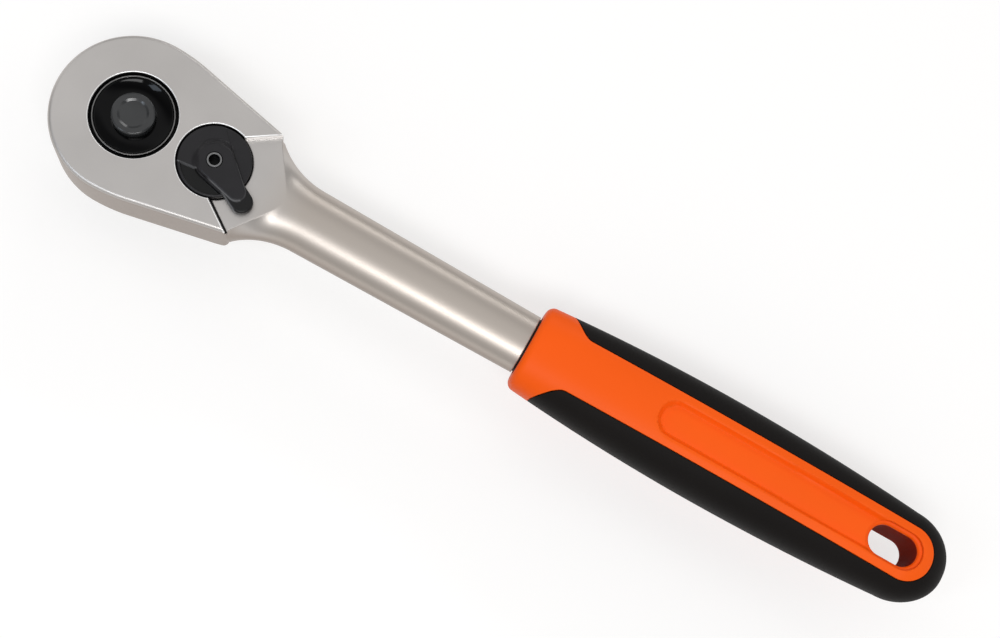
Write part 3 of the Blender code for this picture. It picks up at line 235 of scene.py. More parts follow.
def add_mesh(name, bm):
    """Object with the mesh of a finished bmesh, its faces turned outwards."""
    bmesh.ops.remove_doubles(bm, verts=bm.verts, dist=WELD)
    bmesh.ops.recalc_face_normals(bm, faces=bm.faces)
    mesh = bpy.data.meshes.new(name)
    bm.to_mesh(mesh)
    bm.free()
    obj = bpy.data.objects.new(name, mesh)
    bpy.context.scene.collection.objects.link(obj)
    return obj


def arc(centre, radius, start, end, steps):
    """Points on an arc, both ends included."""
    angles = [start + (end - start) * i / steps for i in range(steps + 1)]
    return [(centre[0] + radius * math.cos(a), centre[1] + radius * math.sin(a)) for a in angles]


def mirrored(half):
    """A closed outline from its half at y >= 0, listed from front to rear."""
    return half + [(x, -y) for x, y in reversed(half) if y > WELD]


def skin(name, rows, capped):
    """Mesh over rows of points, each row closed; the rows close on themselves or get a cap at each end."""
    bm = bmesh.new()
    rings = [[bm.verts.new(point) for point in row] for row in rows]
    pairs = list(zip(rings, rings[1:]))
    if capped:
        bm.faces.new(rings[0])
        bm.faces.new(rings[-1])
    else:
        pairs.append((rings[-1], rings[0]))
    for ring, after in pairs:
        for i in range(len(ring)):
            j = (i + 1) % len(ring)
            bm.faces.new((ring[i], ring[j], after[j], after[i]))
    bmesh.ops.remove_doubles(bm, verts=bm.verts, dist=WELD)
    bmesh.ops.dissolve_degenerate(bm, edges=bm.edges, dist=WELD)
    return add_mesh(name, bm)


def turned(name, profile, place=(0, 0)):
    """Closed (radius, z) section turned about an upright axis."""
    rows = []
    for i in range(ROUND_STEPS):
        turn = FULL_TURN * i / ROUND_STEPS
        x = math.cos(turn)
        y = math.sin(turn)
        rows.append([(place[0] + radius * x, place[1] + radius * y, z) for radius, z in profile])
    return skin(name, rows, False)


def prism(name, outline, low, high):
    """Flat outline extruded from low to high."""
    bm = bmesh.new()
    lower = [bm.verts.new((x, y, low)) for x, y in outline]
    upper = [bm.verts.new((x, y, high)) for x, y in outline]
    bm.faces.new(lower)
    bm.faces.new(upper)
    for i in range(len(outline)):
        j = (i + 1) % len(outline)
        bm.faces.new((lower[i], lower[j], upper[j], upper[i]))
    return add_mesh(name, bm)


def loft(name, sections):
    """Solid through rounded sections (x, half width, half height, squareness) along the handle's axis."""
    rows = []
    for x, half_width, half_height, squareness in sections:
        power = 2 / squareness
        row = []
        for i in range(RING_POINTS):
            turn = FULL_TURN * (i + 0.5) / RING_POINTS
            y = math.copysign(abs(math.cos(turn)) ** power, math.cos(turn)) * half_width
            z = math.copysign(abs(math.sin(turn)) ** power, math.sin(turn)) * half_height
            row.append((x, y, AXIS_Z + z))
        rows.append(row)
    return skin(name, rows, True)


def settle(obj):
    """Applies the object's modifiers and its own placing, so that its mesh is what shows."""
    bpy.context.view_layer.update()
    graph = bpy.context.evaluated_depsgraph_get()
    mesh = bpy.data.meshes.new_from_object(obj.evaluated_get(graph))
    mesh.transform(obj.matrix_world)
    obj.modifiers.clear()
    obj.data = mesh
    obj.matrix_world = Matrix.Identity(4)


def round_edges(obj, width, segments):
    """Rounds the edges at which faces meet at more than BEVEL_ANGLE."""
    bevel = obj.modifiers.new("Round", "BEVEL")
    bevel.width = width
    bevel.segments = segments
    bevel.limit_method = "ANGLE"
    bevel.angle_limit = BEVEL_ANGLE
    settle(obj)


def combine(obj, *steps):
    """Applies Booleans in order, each given as (operation, other object), and removes the others."""
    for operation, other in steps:
        modifier = obj.modifiers.new(other.name, "BOOLEAN")
        modifier.operation = operation
        modifier.object = other
    settle(obj)
    for other in {other.name: other for _, other in steps}.values():
        bpy.data.objects.remove(other)


def smooth(obj, angle=SHARP_ANGLE):
    """Smooth shading with sharp edges kept and flat faces left flat."""
    obj.data.shade_smooth()
    obj.data.set_sharp_from_angle(angle=angle)
    normals = obj.modifiers.new("Flat faces", "WEIGHTED_NORMAL")
    normals.keep_sharp = True
    return obj


def dress(obj, body, slot, material, *nodes):
    """Puts a finished piece on its body in place of the CAD nodes that it stands for."""
    obj.data.materials.clear()
    obj.data.materials.append(material)
    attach(obj, body)
    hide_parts(*nodes)


def clamp(value, low, high):
    """The value, kept between two limits."""
    return min(max(value, low), high)


def smooth_step(share):
    """Rises from nought to one with level ends."""
    share = clamp(share, 0.0, 1.0)
    return share * share * (3 - 2 * share)


def within(distance, edge):
    """One inside an outline and nought outside it, over a soft edge; the distance is below zero inside."""
    return smooth_step(0.5 - distance / edge)


def hollow(start, end, top, depth):
    """Section of a shallow hollow, deepest at the radius start, that rises along a parabola to its end."""
    shares = [i / CORNER_STEPS for i in range(CORNER_STEPS + 1)]
    return [(start + (end - start) * share, top - depth * (1 - share**2)) for share in shares]


# Shapes of the forging


def head_side(x):
    """Half width of the head behind the drive axis: a flat arc that runs into a straight taper."""
    turn = math.asin(min(x / HEAD_SIDE_RADIUS, math.sin(HEAD_TAPER)))
    arc_end = HEAD_RADIUS - HEAD_SIDE_RADIUS * (1 - math.cos(turn))
    return arc_end - (x - HEAD_SIDE_RADIUS * math.sin(turn)) * math.tan(turn)


def head_outline():
    """Plan of the head: a round front and two sides that taper towards the shank."""
    half = arc((0, 0), HEAD_RADIUS, math.pi, QUARTER, OUTLINE_STEPS)
    side_centre = (0, HEAD_RADIUS - HEAD_SIDE_RADIUS)
    half += arc(side_centre, HEAD_SIDE_RADIUS, QUARTER, QUARTER - HEAD_TAPER, CORNER_STEPS)[1:]
    half.append((HEAD_REAR_X, head_side(HEAD_REAR_X)))
    return mirrored(half)


def neck_half_width(x):
    """The head's corner runs into the shank along a hollow arc."""
    reach = clamp(NECK_END_X - x, 0.0, NECK_FILLET)
    spread = NECK_FILLET - math.sqrt(NECK_FILLET**2 - reach**2)
    return min(SHANK_WIDTH / 2 + spread, head_side(x) - RUN_GAP)


def neck_half_height(x):
    """Above and below, the shank swells along a hollow arc that the head's two floors cut flat."""
    reach = clamp(HEAD_REAR_X + NECK_TONGUE - x, 0.0, NECK_RISE_FILLET)
    return SHANK_HEIGHT / 2 + NECK_RISE_FILLET - math.sqrt(NECK_RISE_FILLET**2 - reach**2)


def shank_sections():
    """Neck, shank and tang, with a fine groove where the shank enters the grip."""
    sections = []
    neck_start = HEAD_REAR_X - HEAD_EDGE
    shank_end = GRIP_START_X + SHANK_IN_GRIP
    groove_width = SHANK_END_WIDTH - 2 * MOUTH_LINE_DEPTH
    groove_height = SHANK_END_HEIGHT - 2 * MOUTH_LINE_DEPTH
    for i in range(NECK_STEPS + 1):
        x = neck_start + (NECK_END_X - neck_start) * i / NECK_STEPS
        sections.append((x, neck_half_width(x), neck_half_height(x), SHANK_SQUARENESS))
    for x, width, height in (
        (GRIP_START_X - MOUTH_LINE, SHANK_END_WIDTH, SHANK_END_HEIGHT),
        (GRIP_START_X - MOUTH_LINE + WELD, groove_width, groove_height),
        (shank_end, groove_width, groove_height),
        (shank_end + WELD, TANG_WIDTH, TANG_HEIGHT),
        (TANG_END_X, TANG_WIDTH, TANG_HEIGHT),
    ):
        sections.append((x, width / 2, height / 2, SHANK_SQUARENESS))
    return sections


def rounded_mouth(radius):
    """Upper part of a bore's section: the head's top face runs into the bore over a small round."""
    corner = (radius + HOLE_ROUND, HEAD_TOP - HOLE_ROUND)
    wide = (radius + HOLE_ROUND, HEAD_TOP + BREAK)
    return [wide] + arc(corner, HOLE_ROUND, QUARTER, math.pi, EDGE_STEPS)


def chamber_profile():
    """Everything that is bored round the drive axis."""
    plate_bore = PLATE_HIGH.x + FIT_GAP
    plate_seat = PLATE_HIGH.z + FIT_GAP
    groove_radius = -RING_LOW.y + FIT_GAP
    return [
        (0, HEAD_TOP + BREAK),
        *rounded_mouth(DRIVE_HOLE_RADIUS),
        (DRIVE_HOLE_RADIUS, HEAD_TOP - CHAMBER_DEPTH),
        (CHAMBER_RADIUS, HEAD_TOP - CHAMBER_DEPTH),
        (CHAMBER_RADIUS, plate_seat),
        (plate_bore, plate_seat),
        (plate_bore, RING_HIGH.z + FIT_GAP),
        (groove_radius, RING_HIGH.z + FIT_GAP),
        (groove_radius, RING_LOW.z - FIT_GAP),
        (plate_bore, RING_LOW.z - FIT_GAP),
        (plate_bore + HOLE_ROUND + BREAK, HEAD_BOTTOM - BREAK),
        (0, HEAD_BOTTOM - BREAK),
    ]


def well_profile():
    """The stepped hole that the lever's disc and its spindle turn in."""
    ring_low, ring_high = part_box("spindle_ring")
    bore = (ring_high[1] - ring_low[1]) / 2 + FIT_GAP
    return [
        (0, HEAD_TOP + BREAK),
        *rounded_mouth(REVERSER_HOLE_RADIUS),
        (REVERSER_HOLE_RADIUS, HEAD_TOP - LEVER_RECESS),
        (bore, HEAD_TOP - LEVER_RECESS),
        (bore, SPINDLE_LOW.z - FIT_GAP),
        (0, SPINDLE_LOW.z - FIT_GAP),
    ]


def on_mouth(centre, from_drive, from_lever):
    """True on the rounded mouth of one of the head's two holes."""
    near = from_drive < DRIVE_HOLE_RADIUS + HOLE_ROUND or from_lever < REVERSER_HOLE_RADIUS + HOLE_ROUND
    return near and HEAD_TOP - HOLE_ROUND < centre.z < HEAD_TOP - WELD


def on_groove(centre):
    """True in the groove along the foot of the stop that the lever rests against."""
    out = -centre.y * math.cos(STOP_ANGLE) - (centre.x - REVERSER_X) * math.sin(STOP_ANGLE)
    near = STOP_OFFSET - STOP_GROOVE - WELD < out < STOP_OFFSET + WELD
    return near and centre.x > REVERSER_X and NECK_FLOOR - BREAK < centre.z < NECK_FLOOR - WELD


def on_stop(centre):
    """True on the faces of the lever's two stops."""
    out = abs(centre.y) * math.cos(STOP_ANGLE) - (centre.x - REVERSER_X) * math.sin(STOP_ANGLE)
    near = abs(out - STOP_OFFSET) < STOP_ROUND and centre.x > REVERSER_X
    return near and NECK_FLOOR + WELD < centre.z < HEAD_TOP - WELD


def body_finish(centre):
    """Which finish a face of the forging takes: painted highlight on hole mouths and stop faces, painted
    shade in bores and grooves.
    """
    from_drive = centre.xy.length
    from_lever = (centre.xy - Vector((REVERSER_X, 0))).length
    # Painted highlight: the rounded mouths of the holes take a far lighter tone than the satin steel
    if on_mouth(centre, from_drive, from_lever):
        return PAINTED_HIGHLIGHT
    # Painted shade: the groove at the foot of the lever's stop is darkened
    if on_groove(centre):
        return PAINTED_SHADE
    # Painted highlight: the faces of the stops take the same lighter tone
    if on_stop(centre):
        return PAINTED_HIGHLIGHT
    # Painted shade: the bore walls are darkened
    in_bore = from_drive < -RING_LOW.y + RUN_GAP or from_lever < REVERSER_HOLE_RADIUS + WELD
    if in_bore and HEAD_BOTTOM + HEAD_EDGE < centre.z < HEAD_TOP - HOLE_ROUND:
        return PAINTED_SHADE
    # Painted shade: the shank's groove where it enters the grip, and the tang inside it, are darkened
    return PAINTED_SHADE if centre.x > GRIP_START_X - MOUTH_LINE else SATIN


def sector_cutter():
    """Wedge over the rear of the head in which the lever's arm swings, its upper edges rounded."""
    levels = [(NECK_FLOOR, 0)]
    for i in range(EDGE_STEPS + 1):
        turn = QUARTER * i / EDGE_STEPS
        levels.append((HEAD_TOP - STOP_ROUND * (1 - math.sin(turn)), STOP_ROUND * (1 - math.cos(turn))))
    levels.append((HEAD_TOP + NECK_RISE_FILLET, STOP_ROUND))
    rows = []
    for level, grow in levels:
        apex = REVERSER_X - (STOP_OFFSET + grow) / math.sin(STOP_ANGLE)
        spread = (NECK_END_X - apex) * math.tan(STOP_ANGLE)
        rows.append([(apex, 0, level), (NECK_END_X, -spread, level), (NECK_END_X, spread, level)])
    return skin("lever_sector", rows, True)


def groove_cutter():
    """Fine groove along the foot of the stop that the lever rests against."""
    along = Vector((math.cos(STOP_ANGLE), -math.sin(STOP_ANGLE)))
    out = Vector((-math.sin(STOP_ANGLE), -math.cos(STOP_ANGLE)))
    centre = Vector((REVERSER_X, 0))
    near = centre + out * STOP_OFFSET
    far = centre + out * (STOP_OFFSET - STOP_GROOVE)
    reach = along * NECK_END_X
    outline = [tuple(point) for point in (near, near + reach, far + reach, far)]
    return prism("stop_groove", outline, NECK_FLOOR - STOP_GROOVE_DEPTH, NECK_FLOOR + STOP_GROOVE_DEPTH)


def make_body(material, shade_material, highlight_material):
    """Forged head, neck, shank and tang, with soft outer edges and the head bored from both faces."""
    body = prism("forging", head_outline(), HEAD_BOTTOM, HEAD_TOP)
    round_edges(body, HEAD_EDGE, EDGE_STEPS)
    ramp_rise = AXIS_Z - SHANK_HEIGHT / 2 - FLOOR_STEP - HEAD_BOTTOM
    below = -NECK_RISE_FILLET - BREAK
    side_view = [
        (HEAD_REAR_X - RAMP_LENGTH, 0),
        (HEAD_REAR_X - RAMP_LENGTH, below),
        (NECK_END_X, below),
        (NECK_END_X, ramp_rise),
        (HEAD_REAR_X, ramp_rise),
    ]
    ramp = prism("rear_ramp", side_view, -HEAD_RADIUS, HEAD_RADIUS)
    upright = Matrix.Rotation(QUARTER, 4, "X")
    ramp.matrix_world = Matrix.Translation((0, 0, HEAD_BOTTOM)) @ upright
    pawl_low, pawl_high = (Vector(corner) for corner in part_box("pawl"))
    pocket_outline = [
        (pawl_low.x - RUN_GAP, pawl_low.y - BREAK),
        (REVERSER_X, pawl_low.y - BREAK),
        (REVERSER_X, pawl_high.y + BREAK),
        (pawl_low.x - RUN_GAP, pawl_high.y + BREAK),
    ]
    pocket = prism("pawl_pocket", pocket_outline, pawl_low.z - RUN_GAP, pawl_high.z + RUN_GAP)
    combine(
        body,
        ("UNION", loft("shank", shank_sections())),
        ("DIFFERENCE", sector_cutter()),
        ("DIFFERENCE", groove_cutter()),
        ("DIFFERENCE", ramp),
        ("DIFFERENCE", turned("gear_chamber", chamber_profile())),
        ("DIFFERENCE", turned("reverser_well", well_profile(), (REVERSER_X, 0))),
        ("DIFFERENCE", pocket),
    )
    smooth(body)
    dress(body, "handle", "forged_steel", material, "ratchet_body")
    # The second finish is painted shade, the third a painted highlight
    body.data.materials.append(shade_material)
    body.data.materials.append(highlight_material)
    for face in body.data.polygons:
        face.material_index = body_finish(face.center)


# Shapes of the hub


def make_collar(material):
    """Black dished collar round the button."""
    rim = COLLAR_HIGH.x
    top = COLLAR_HIGH.z
    sleeve = BUTTON_RADIUS + COLLAR_SLEEVE
    bore = BUTTON_RADIUS + FIT_GAP
    lip_corner = (rim - COLLAR_LIP_ROUND, top - COLLAR_LIP_ROUND)
    profile = arc(lip_corner, COLLAR_LIP_ROUND, QUARTER, 0, EDGE_STEPS)
    profile += [
        (rim, top - COLLAR_FLANGE),
        (sleeve, top - COLLAR_SHOULDER),
        (sleeve, COLLAR_LOW.z),
        (bore, COLLAR_LOW.z),
    ]
    profile += hollow(bore, rim - COLLAR_LIP, top, DISH_DEPTH)
    collar = smooth(turned("dished_collar", profile))
    dress(collar, "drive", "gloss_black", material, "button_collar")


def make_button(material):
    """Button with a round-edged top and a shallow bevelled recess."""
    pin_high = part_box("release_pin")[1]
    top = BUTTON_HIGH.z
    flange = BUTTON_HIGH.x
    flange_top = COLLAR_LOW.z - FIT_GAP
    socket = pin_high[0] + FIT_GAP
    dimple = BUTTON_RADIUS - DIMPLE_RIM
    floor = dimple - DIMPLE_FACET
    floor_top = top - DIMPLE_FACET * math.tan(DIMPLE_SLOPE)
    profile = hollow(0, floor, floor_top, DIMPLE_HOLLOW)
    profile.append((dimple, top))
    corner = (BUTTON_RADIUS - BUTTON_EDGE, top - BUTTON_EDGE)
    profile += arc(corner, BUTTON_EDGE, QUARTER, 0, CORNER_STEPS)
    profile += [
        (BUTTON_RADIUS, flange_top),
        (flange, flange_top),
        (flange, BUTTON_LOW.z),
        (socket, BUTTON_LOW.z),
        (socket, pin_high[2] + FIT_GAP),
        (0, pin_high[2] + FIT_GAP),
    ]
    button = smooth(turned("push_button", profile), FACET_ANGLE)
    dress(button, "button", "button_grey", material, "release_button")


# Shapes of the lever


def arm_distance(x, y):
    """Distance from the pear outline of the raised arm, below zero inside it."""
    lean = (ARM_HUB_RADIUS - ARM_END_RADIUS) / ARM_END_X
    rise = math.sqrt(1 - lean**2)
    side = abs(y - ARM_SHIFT)
    along = rise * x - lean * side
    if along < 0:
        return math.hypot(x, side) - ARM_HUB_RADIUS
    if along > rise * ARM_END_X:
        return math.hypot(x - ARM_END_X, side) - ARM_END_RADIUS
    return rise * side + lean * x - ARM_HUB_RADIUS


def rounded_top(top, edge, distance):
    """Level of a flat top whose edge is rounded, at a distance from its outline, below zero inside."""
    into = clamp(distance + edge, 0.0, edge)
    return top - edge + math.sqrt(edge**2 - into**2)


def finger_start(x, y):
    """Distance from the line at which the finger hollow starts, below zero inside the hollow."""
    past_x = x - FINGER_CORNER[0]
    past_y = y - FINGER_CORNER[1]
    return past_y * math.cos(FINGER_SLOPE) - past_x * math.sin(FINGER_SLOPE)


def finger_share(x, y):
    """One inside the finger hollow, nought outside it."""
    if y >= 0:
        return 0.0
    inside_rim = math.hypot(x, y) - DISC_RADIUS + FINGER_RIM
    return within(max(inside_rim, ARM_EDGE - arm_distance(x, y), finger_start(x, y)), FINGER_EDGE)


def lever_painted_shade(x, y):
    """How much painted shade darkens the lever at a place: in the finger hollow and on the tab beyond the
    arm.
    """
    on_tab = math.hypot(x, y) > DISC_RADIUS and arm_distance(x, y) > 0
    return TAB_PAINTED_SHADE if on_tab else finger_share(x, y)


def lever_painted_highlight(x, y):
    """How strongly a painted highlight lightens the lever's top at a place.

    It is along the edges of the arm and the tab, and along the start and the rim of the finger hollow.
    """
    arm = arm_distance(x, y)
    near_side = y < 0
    edge = 1 - abs(arm + HIGHLIGHT_LINE_INSET) / HIGHLIGHT_LINE_WIDTH
    if not near_side:
        edge *= FAINT_HIGHLIGHT
    edge *= smooth_step((x - ARM_HUB_RADIUS / 2) / HIGHLIGHT_LINE_RUN)
    tab = 0.0
    if near_side and x > ARM_END_X - ARM_END_RADIUS:
        tab = 1 - abs(y + TAB_WIDTH / 2 - HIGHLIGHT_LINE_INSET) / HIGHLIGHT_LINE_WIDTH
    start = 0.0
    if near_side and arm > 0 and x < 0:
        start = 1 - abs(finger_start(x, y)) / HIGHLIGHT_LINE_WIDTH
    rim = 0.0
    if near_side and arm > 0 and finger_start(x, y) < 0:
        rim = FAINT_HIGHLIGHT * (1 - abs(math.hypot(x, y) - DISC_RADIUS + FINGER_RIM) / HIGHLIGHT_LINE_WIDTH)
    return max(edge, tab, start, rim, 0.0)


def lever_level(x, y):
    """Level of the lever's top: disc, tab, raised arm and finger hollow, run into each other."""
    radius = math.hypot(x, y)
    arm = arm_distance(x, y)
    tab = math.hypot(max(x - TAB_END_X, 0.0), y) - TAB_WIDTH / 2
    level = rounded_top(DISC_TOP, DISC_EDGE, radius - DISC_RADIUS)
    crease = y * math.cos(STOP_ANGLE / 2) + x * math.sin(STOP_ANGLE / 2) - ARM_HUB_RADIUS
    level -= ARM_CREASE * within(-crease, ARM_EDGE)
    if x > 0 and tab <= WELD:
        level = max(level, rounded_top(TAB_TOP, LEVER_EDGE, tab))
    soft = level + (ARM_TOP - level) * within(arm, ARM_HUB_BLEND)
    crisp = max(level, rounded_top(ARM_TOP, ARM_ROUND, arm)) if arm < 0 else level
    level = crisp + (soft - crisp) * within(x, ARM_HUB_RADIUS)
    return level + (DISC_TOP - FINGER_DEPTH - level) * finger_share(x, y)


def lever_column(turn):
    """Closed section of the lever along one ray from its axis."""
    along = math.cos(turn)
    across = math.sin(turn)
    reach = DISC_RADIUS
    if along > 0:
        to_side = TAB_WIDTH / 2 / max(abs(across), WELD)
        if to_side * along > TAB_END_X:
            to_side = TAB_END_X * along + math.sqrt((TAB_WIDTH / 2) ** 2 - (TAB_END_X * across) ** 2)
        reach = max(reach, to_side)
    step = (DISC_RADIUS - RIVET_HOLE_RADIUS) / LEVER_RINGS
    radii = [RIVET_HOLE_RADIUS + step * i for i in range(LEVER_RINGS + 1)]
    radii += [DISC_RADIUS + (reach - DISC_RADIUS) * (i + 1) / TAB_RINGS for i in range(TAB_RINGS)]
    points = [(r * along, r * across, lever_level(r * along, r * across)) for r in radii]
    for radius, z in (
        (reach, TAB_LOW),
        (DISC_RADIUS, TAB_LOW),
        (DISC_RADIUS, DISC_LOW),
        (RIVET_HOLE_RADIUS, DISC_LOW),
    ):
        points.append((radius * along, radius * across, z))
    return points


def make_lever(material):
    """Disc with a finger hollow, a raised arm, and a thumb tab over the head's lowered floor."""
    turns = [FULL_TURN * i / LEVER_COLUMNS for i in range(LEVER_COLUMNS)]
    lever = skin("flip_lever", [lever_column(turn) for turn in turns], False)
    # Per-vertex shares of painted shade and painted highlight, which the lever's finish reads
    for name, share in (("painted_highlight", lever_painted_highlight), ("painted_shade", lever_painted_shade)):
        values = [share(*vertex.co.xy) for vertex in lever.data.vertices]
        lever.data.attributes.new(name, "FLOAT", "POINT").data.foreach_set("value", values)
    to_place = Matrix.Translation((REVERSER_X, 0, 0)) @ Matrix.Rotation(LEVER_REST, 4, "Z")
    lever.data.transform(to_place)
    smooth(lever, SCULPTED_ANGLE)
    dress(lever, "lever", "lever_charcoal", material, "reverser_lever")


# Shapes of the grip


def grip_share(x):
    """Width of the grip at x as a share of its widest: a barrel with a rounded front and a round end."""
    half = GRIP_WIDTH / 2
    if x < GRIP_WIDEST_X:
        half -= GRIP_FRONT_DROP * ((GRIP_WIDEST_X - x) / GRIP_WIDEST) ** 2
    else:
        along = (min(x, GRIP_ROUND_X) - GRIP_WIDEST_X) / (GRIP_ROUND_X - GRIP_WIDEST_X)
        half -= GRIP_REAR_DROP * along**2
    corner = GRIP_FRONT_ROUND - (x - GRIP_START_X)
    if corner > 0:
        half -= GRIP_FRONT_ROUND - math.sqrt(max(GRIP_FRONT_ROUND**2 - corner**2, 0))
    past = (x - GRIP_ROUND_X) / GRIP_END_ROUND
    if past > 0:
        half *= math.sqrt(max(1 - past**2, 0))
    return half / (GRIP_WIDTH / 2)


def grip_places():
    """Places of the grip's sections: close together where it turns in at both ends."""
    first = GRIP_START_X + GRIP_FRONT_ROUND
    places = []
    for i in range(CORNER_STEPS):
        places.append(GRIP_START_X + GRIP_FRONT_ROUND * (1 - math.cos(QUARTER * i / CORNER_STEPS)))
    for i in range(GRIP_STEPS + 1):
        places.append(first + (GRIP_ROUND_X - first) * i / GRIP_STEPS)
    for i in range(1, GRIP_END_STEPS):
        places.append(GRIP_ROUND_X + GRIP_END_ROUND * math.sin(QUARTER * i / GRIP_END_STEPS))
    places.append(GRIP_END_X - GRIP_TIP)
    return places


def grip_sections(inset):
    """Sections of the grip's outer form, or of a form that lies inside it all round."""
    sections = []
    for x in grip_places():
        half_width = GRIP_WIDTH / 2 * grip_share(x) - inset
        half_height = GRIP_THICKNESS / 2 * grip_share(x) - inset
        if half_height > FIT_GAP and x <= GRIP_END_X - max(inset, GRIP_TIP):
            sections.append((x, half_width, half_height, GRIP_SQUARENESS))
    return sections


def side_outline(gap):
    """Plan of the two soft side panels, which join round the end of the stripe."""
    half = STRIPE_WIDTH / 2 + gap
    wide = GRIP_WIDTH
    front = RING_EDGE_X + gap
    steps = 2 * CORNER_STEPS
    edge = []
    for i in range(steps + 1):
        share = i / steps
        x = front + (STRIPE_START_X - RING_EDGE_X) * share
        y = GRIP_WIDTH / 2 + (half - GRIP_WIDTH / 2) * smooth_step(share)
        edge.append((x, y))
    edge += arc((STRIPE_END_X - STRIPE_WIDTH / 2, 0), half, QUARTER, 0, steps)
    inner = edge + [(x, -y) for x, y in reversed(edge[:-1])]
    far = GRIP_END_X + BREAK
    return inner + [(front, -wide), (far, -wide), (far, wide), (front, wide)]


def capsule(start, end, width):
    """Outline with round ends between two places on the X axis."""
    radius = width / 2
    outline = arc((end - radius, 0), radius, -QUARTER, QUARTER, CORNER_STEPS)
    return outline + arc((start + radius, 0), radius, QUARTER, 3 * QUARTER, CORNER_STEPS)


def scoop_floor(x):
    """Depth of the long recess at x: it deepens towards the hang hole."""
    share = (x - SCOOP_START_X) / (HANG_HOLE_END_X - SCOOP_START_X)
    return SCOOP_DEPTH + (SCOOP_END_DEPTH - SCOOP_DEPTH) * clamp(share, 0.0, 1.0)


def press_scoops(core):
    """Sinks a long soft-edged recess into both flat sides of the grip."""
    half = SCOOP_WIDTH / 2
    start = SCOOP_START_X + half
    end = HANG_HOLE_END_X + (SCOOP_WIDTH - HANG_HOLE_WIDTH) / 2 - half
    for vertex in core.data.vertices:
        x, y, z = vertex.co
        beside = math.hypot(x - clamp(x, start, end), y) - half
        depth = scoop_floor(x) * within(beside, SCOOP_EDGE)
        vertex.co.z = z - math.copysign(depth, z - AXIS_Z)


def hang_hole():
    """Cutter for the hang hole, with rounded mouths on both sides."""
    middle = HANG_HOLE_END_X - HANG_HOLE_LENGTH / 2
    mouth = GRIP_THICKNESS / 2 * grip_share(middle) - scoop_floor(middle)
    levels = [(GRIP_THICKNESS, HANG_MOUTH)]
    for i in range(EDGE_STEPS + 1):
        turn = QUARTER * (1 - i / EDGE_STEPS)
        level = mouth - HANG_MOUTH + HANG_MOUTH * math.sin(turn)
        levels.append((level, HANG_MOUTH * (1 - math.cos(turn))))
    levels += [(-level, grow) for level, grow in reversed(levels)]
    rows = []
    for level, grow in levels:
        start = HANG_HOLE_START_X - grow
        outline = capsule(start, HANG_HOLE_END_X + grow, HANG_HOLE_WIDTH + 2 * grow)
        rows.append([(x, y, AXIS_Z + level) for x, y in outline])
    return skin("hang_hole", rows, True)


def in_hang_hole(centre):
    """True on the walls of the hang hole, below its rounded mouths."""
    radius = HANG_HOLE_WIDTH / 2
    nearest = clamp(centre.x, HANG_HOLE_START_X + radius, HANG_HOLE_END_X - radius)
    return math.hypot(centre.x - nearest, centre.y) < radius + WELD


def make_grip(core_material, sleeve_material, hole_shade_material):
    """Hard core with ring, stripes and hang hole, and the soft sleeve moulded on its sides and end."""
    low = AXIS_Z - GRIP_THICKNESS
    high = AXIS_Z + GRIP_THICKNESS
    core = loft("grip_moulding", grip_sections(0))
    press_scoops(core)
    panels = prism("side_panels", side_outline(0), low, high)
    combine(panels, ("DIFFERENCE", loft("core_backing", grip_sections(SLEEVE_THICKNESS))))
    tang = [
        (GRIP_START_X - BREAK, SHANK_END_WIDTH, SHANK_END_HEIGHT),
        (GRIP_START_X + SHANK_IN_GRIP + FIT_GAP, SHANK_END_WIDTH, SHANK_END_HEIGHT),
        (GRIP_START_X + SHANK_IN_GRIP + FIT_GAP + WELD, TANG_WIDTH, TANG_HEIGHT),
        (TANG_END_X + FIT_GAP, TANG_WIDTH, TANG_HEIGHT),
    ]
    tang_space = loft(
        "tang_space",
        [(x, width / 2 + FIT_GAP, height / 2 + FIT_GAP, SHANK_SQUARENESS) for x, width, height in tang],
    )
    combine(
        core,
        ("DIFFERENCE", panels),
        ("DIFFERENCE", tang_space),
        ("DIFFERENCE", hang_hole()),
    )
    smooth(core)
    dress(core, "handle", "orange_plastic", core_material, "grip_core")
    core.data.materials.append(hole_shade_material)
    for face in core.data.polygons:
        # Painted shade: the hang hole's walls take a dark red finish
        face.material_index = int(in_hang_hole(face.center))
    sleeve = loft("soft_sleeve", grip_sections(0))
    combine(
        sleeve,
        ("INTERSECT", prism("sleeve_plan", side_outline(FIT_GAP), low, high)),
        ("DIFFERENCE", loft("sleeve_inside", grip_sections(SLEEVE_THICKNESS - FIT_GAP))),
    )
    smooth(sleeve)
    dress(sleeve, "handle", "soft_black", sleeve_material, "grip_sleeve")


# Finishes

# Tones, in linear light
FORGED_TONE = (0.55, 0.525, 0.505)
SHANK_TONE = (0.49, 0.44, 0.395)
# Darker tone for the painted shade on the forging's upright sides
SIDE_SHADE_TONE = (0.34, 0.29, 0.255)
# Near black of the painted shade in bores, grooves, the gap round the hub and the lever's hole
SHADE_BLACK_TONE = (0.012, 0.012, 0.012)
# Far lighter than the forging: a painted highlight
PAINTED_HIGHLIGHT_TONE = (0.92, 0.91, 0.9)
GEAR_TONE = (0.5, 0.49, 0.48)
HUB_RIM_TONE = (0.19, 0.187, 0.184)
STEEL_TONE = (0.66, 0.65, 0.63)
PLATE_TONE = (0.6, 0.59, 0.57)
SPRING_TONE = (0.5, 0.5, 0.5)
SNAP_RING_TONE = (0.06, 0.06, 0.065)
RIVET_TONE = (0.2, 0.2, 0.2)
BALL_TONE = (0.75, 0.75, 0.75)
COLLAR_TONE = (0.0008, 0.0008, 0.001)
BUTTON_TONE = (0.02, 0.021, 0.022)
LEVER_TONE = (0.0145, 0.0137, 0.0152)
# Tone of the painted shade on the lever
LEVER_PAINTED_SHADE_TONE = (0.004, 0.004, 0.004)
# Tone of the painted highlight lines on the lever
LEVER_HIGHLIGHT_TONE = (0.16, 0.16, 0.165)
RUBBER_TONE = (0.008, 0.008, 0.008)
ORANGE_TONE = (0.96, 0.108, 0.002)
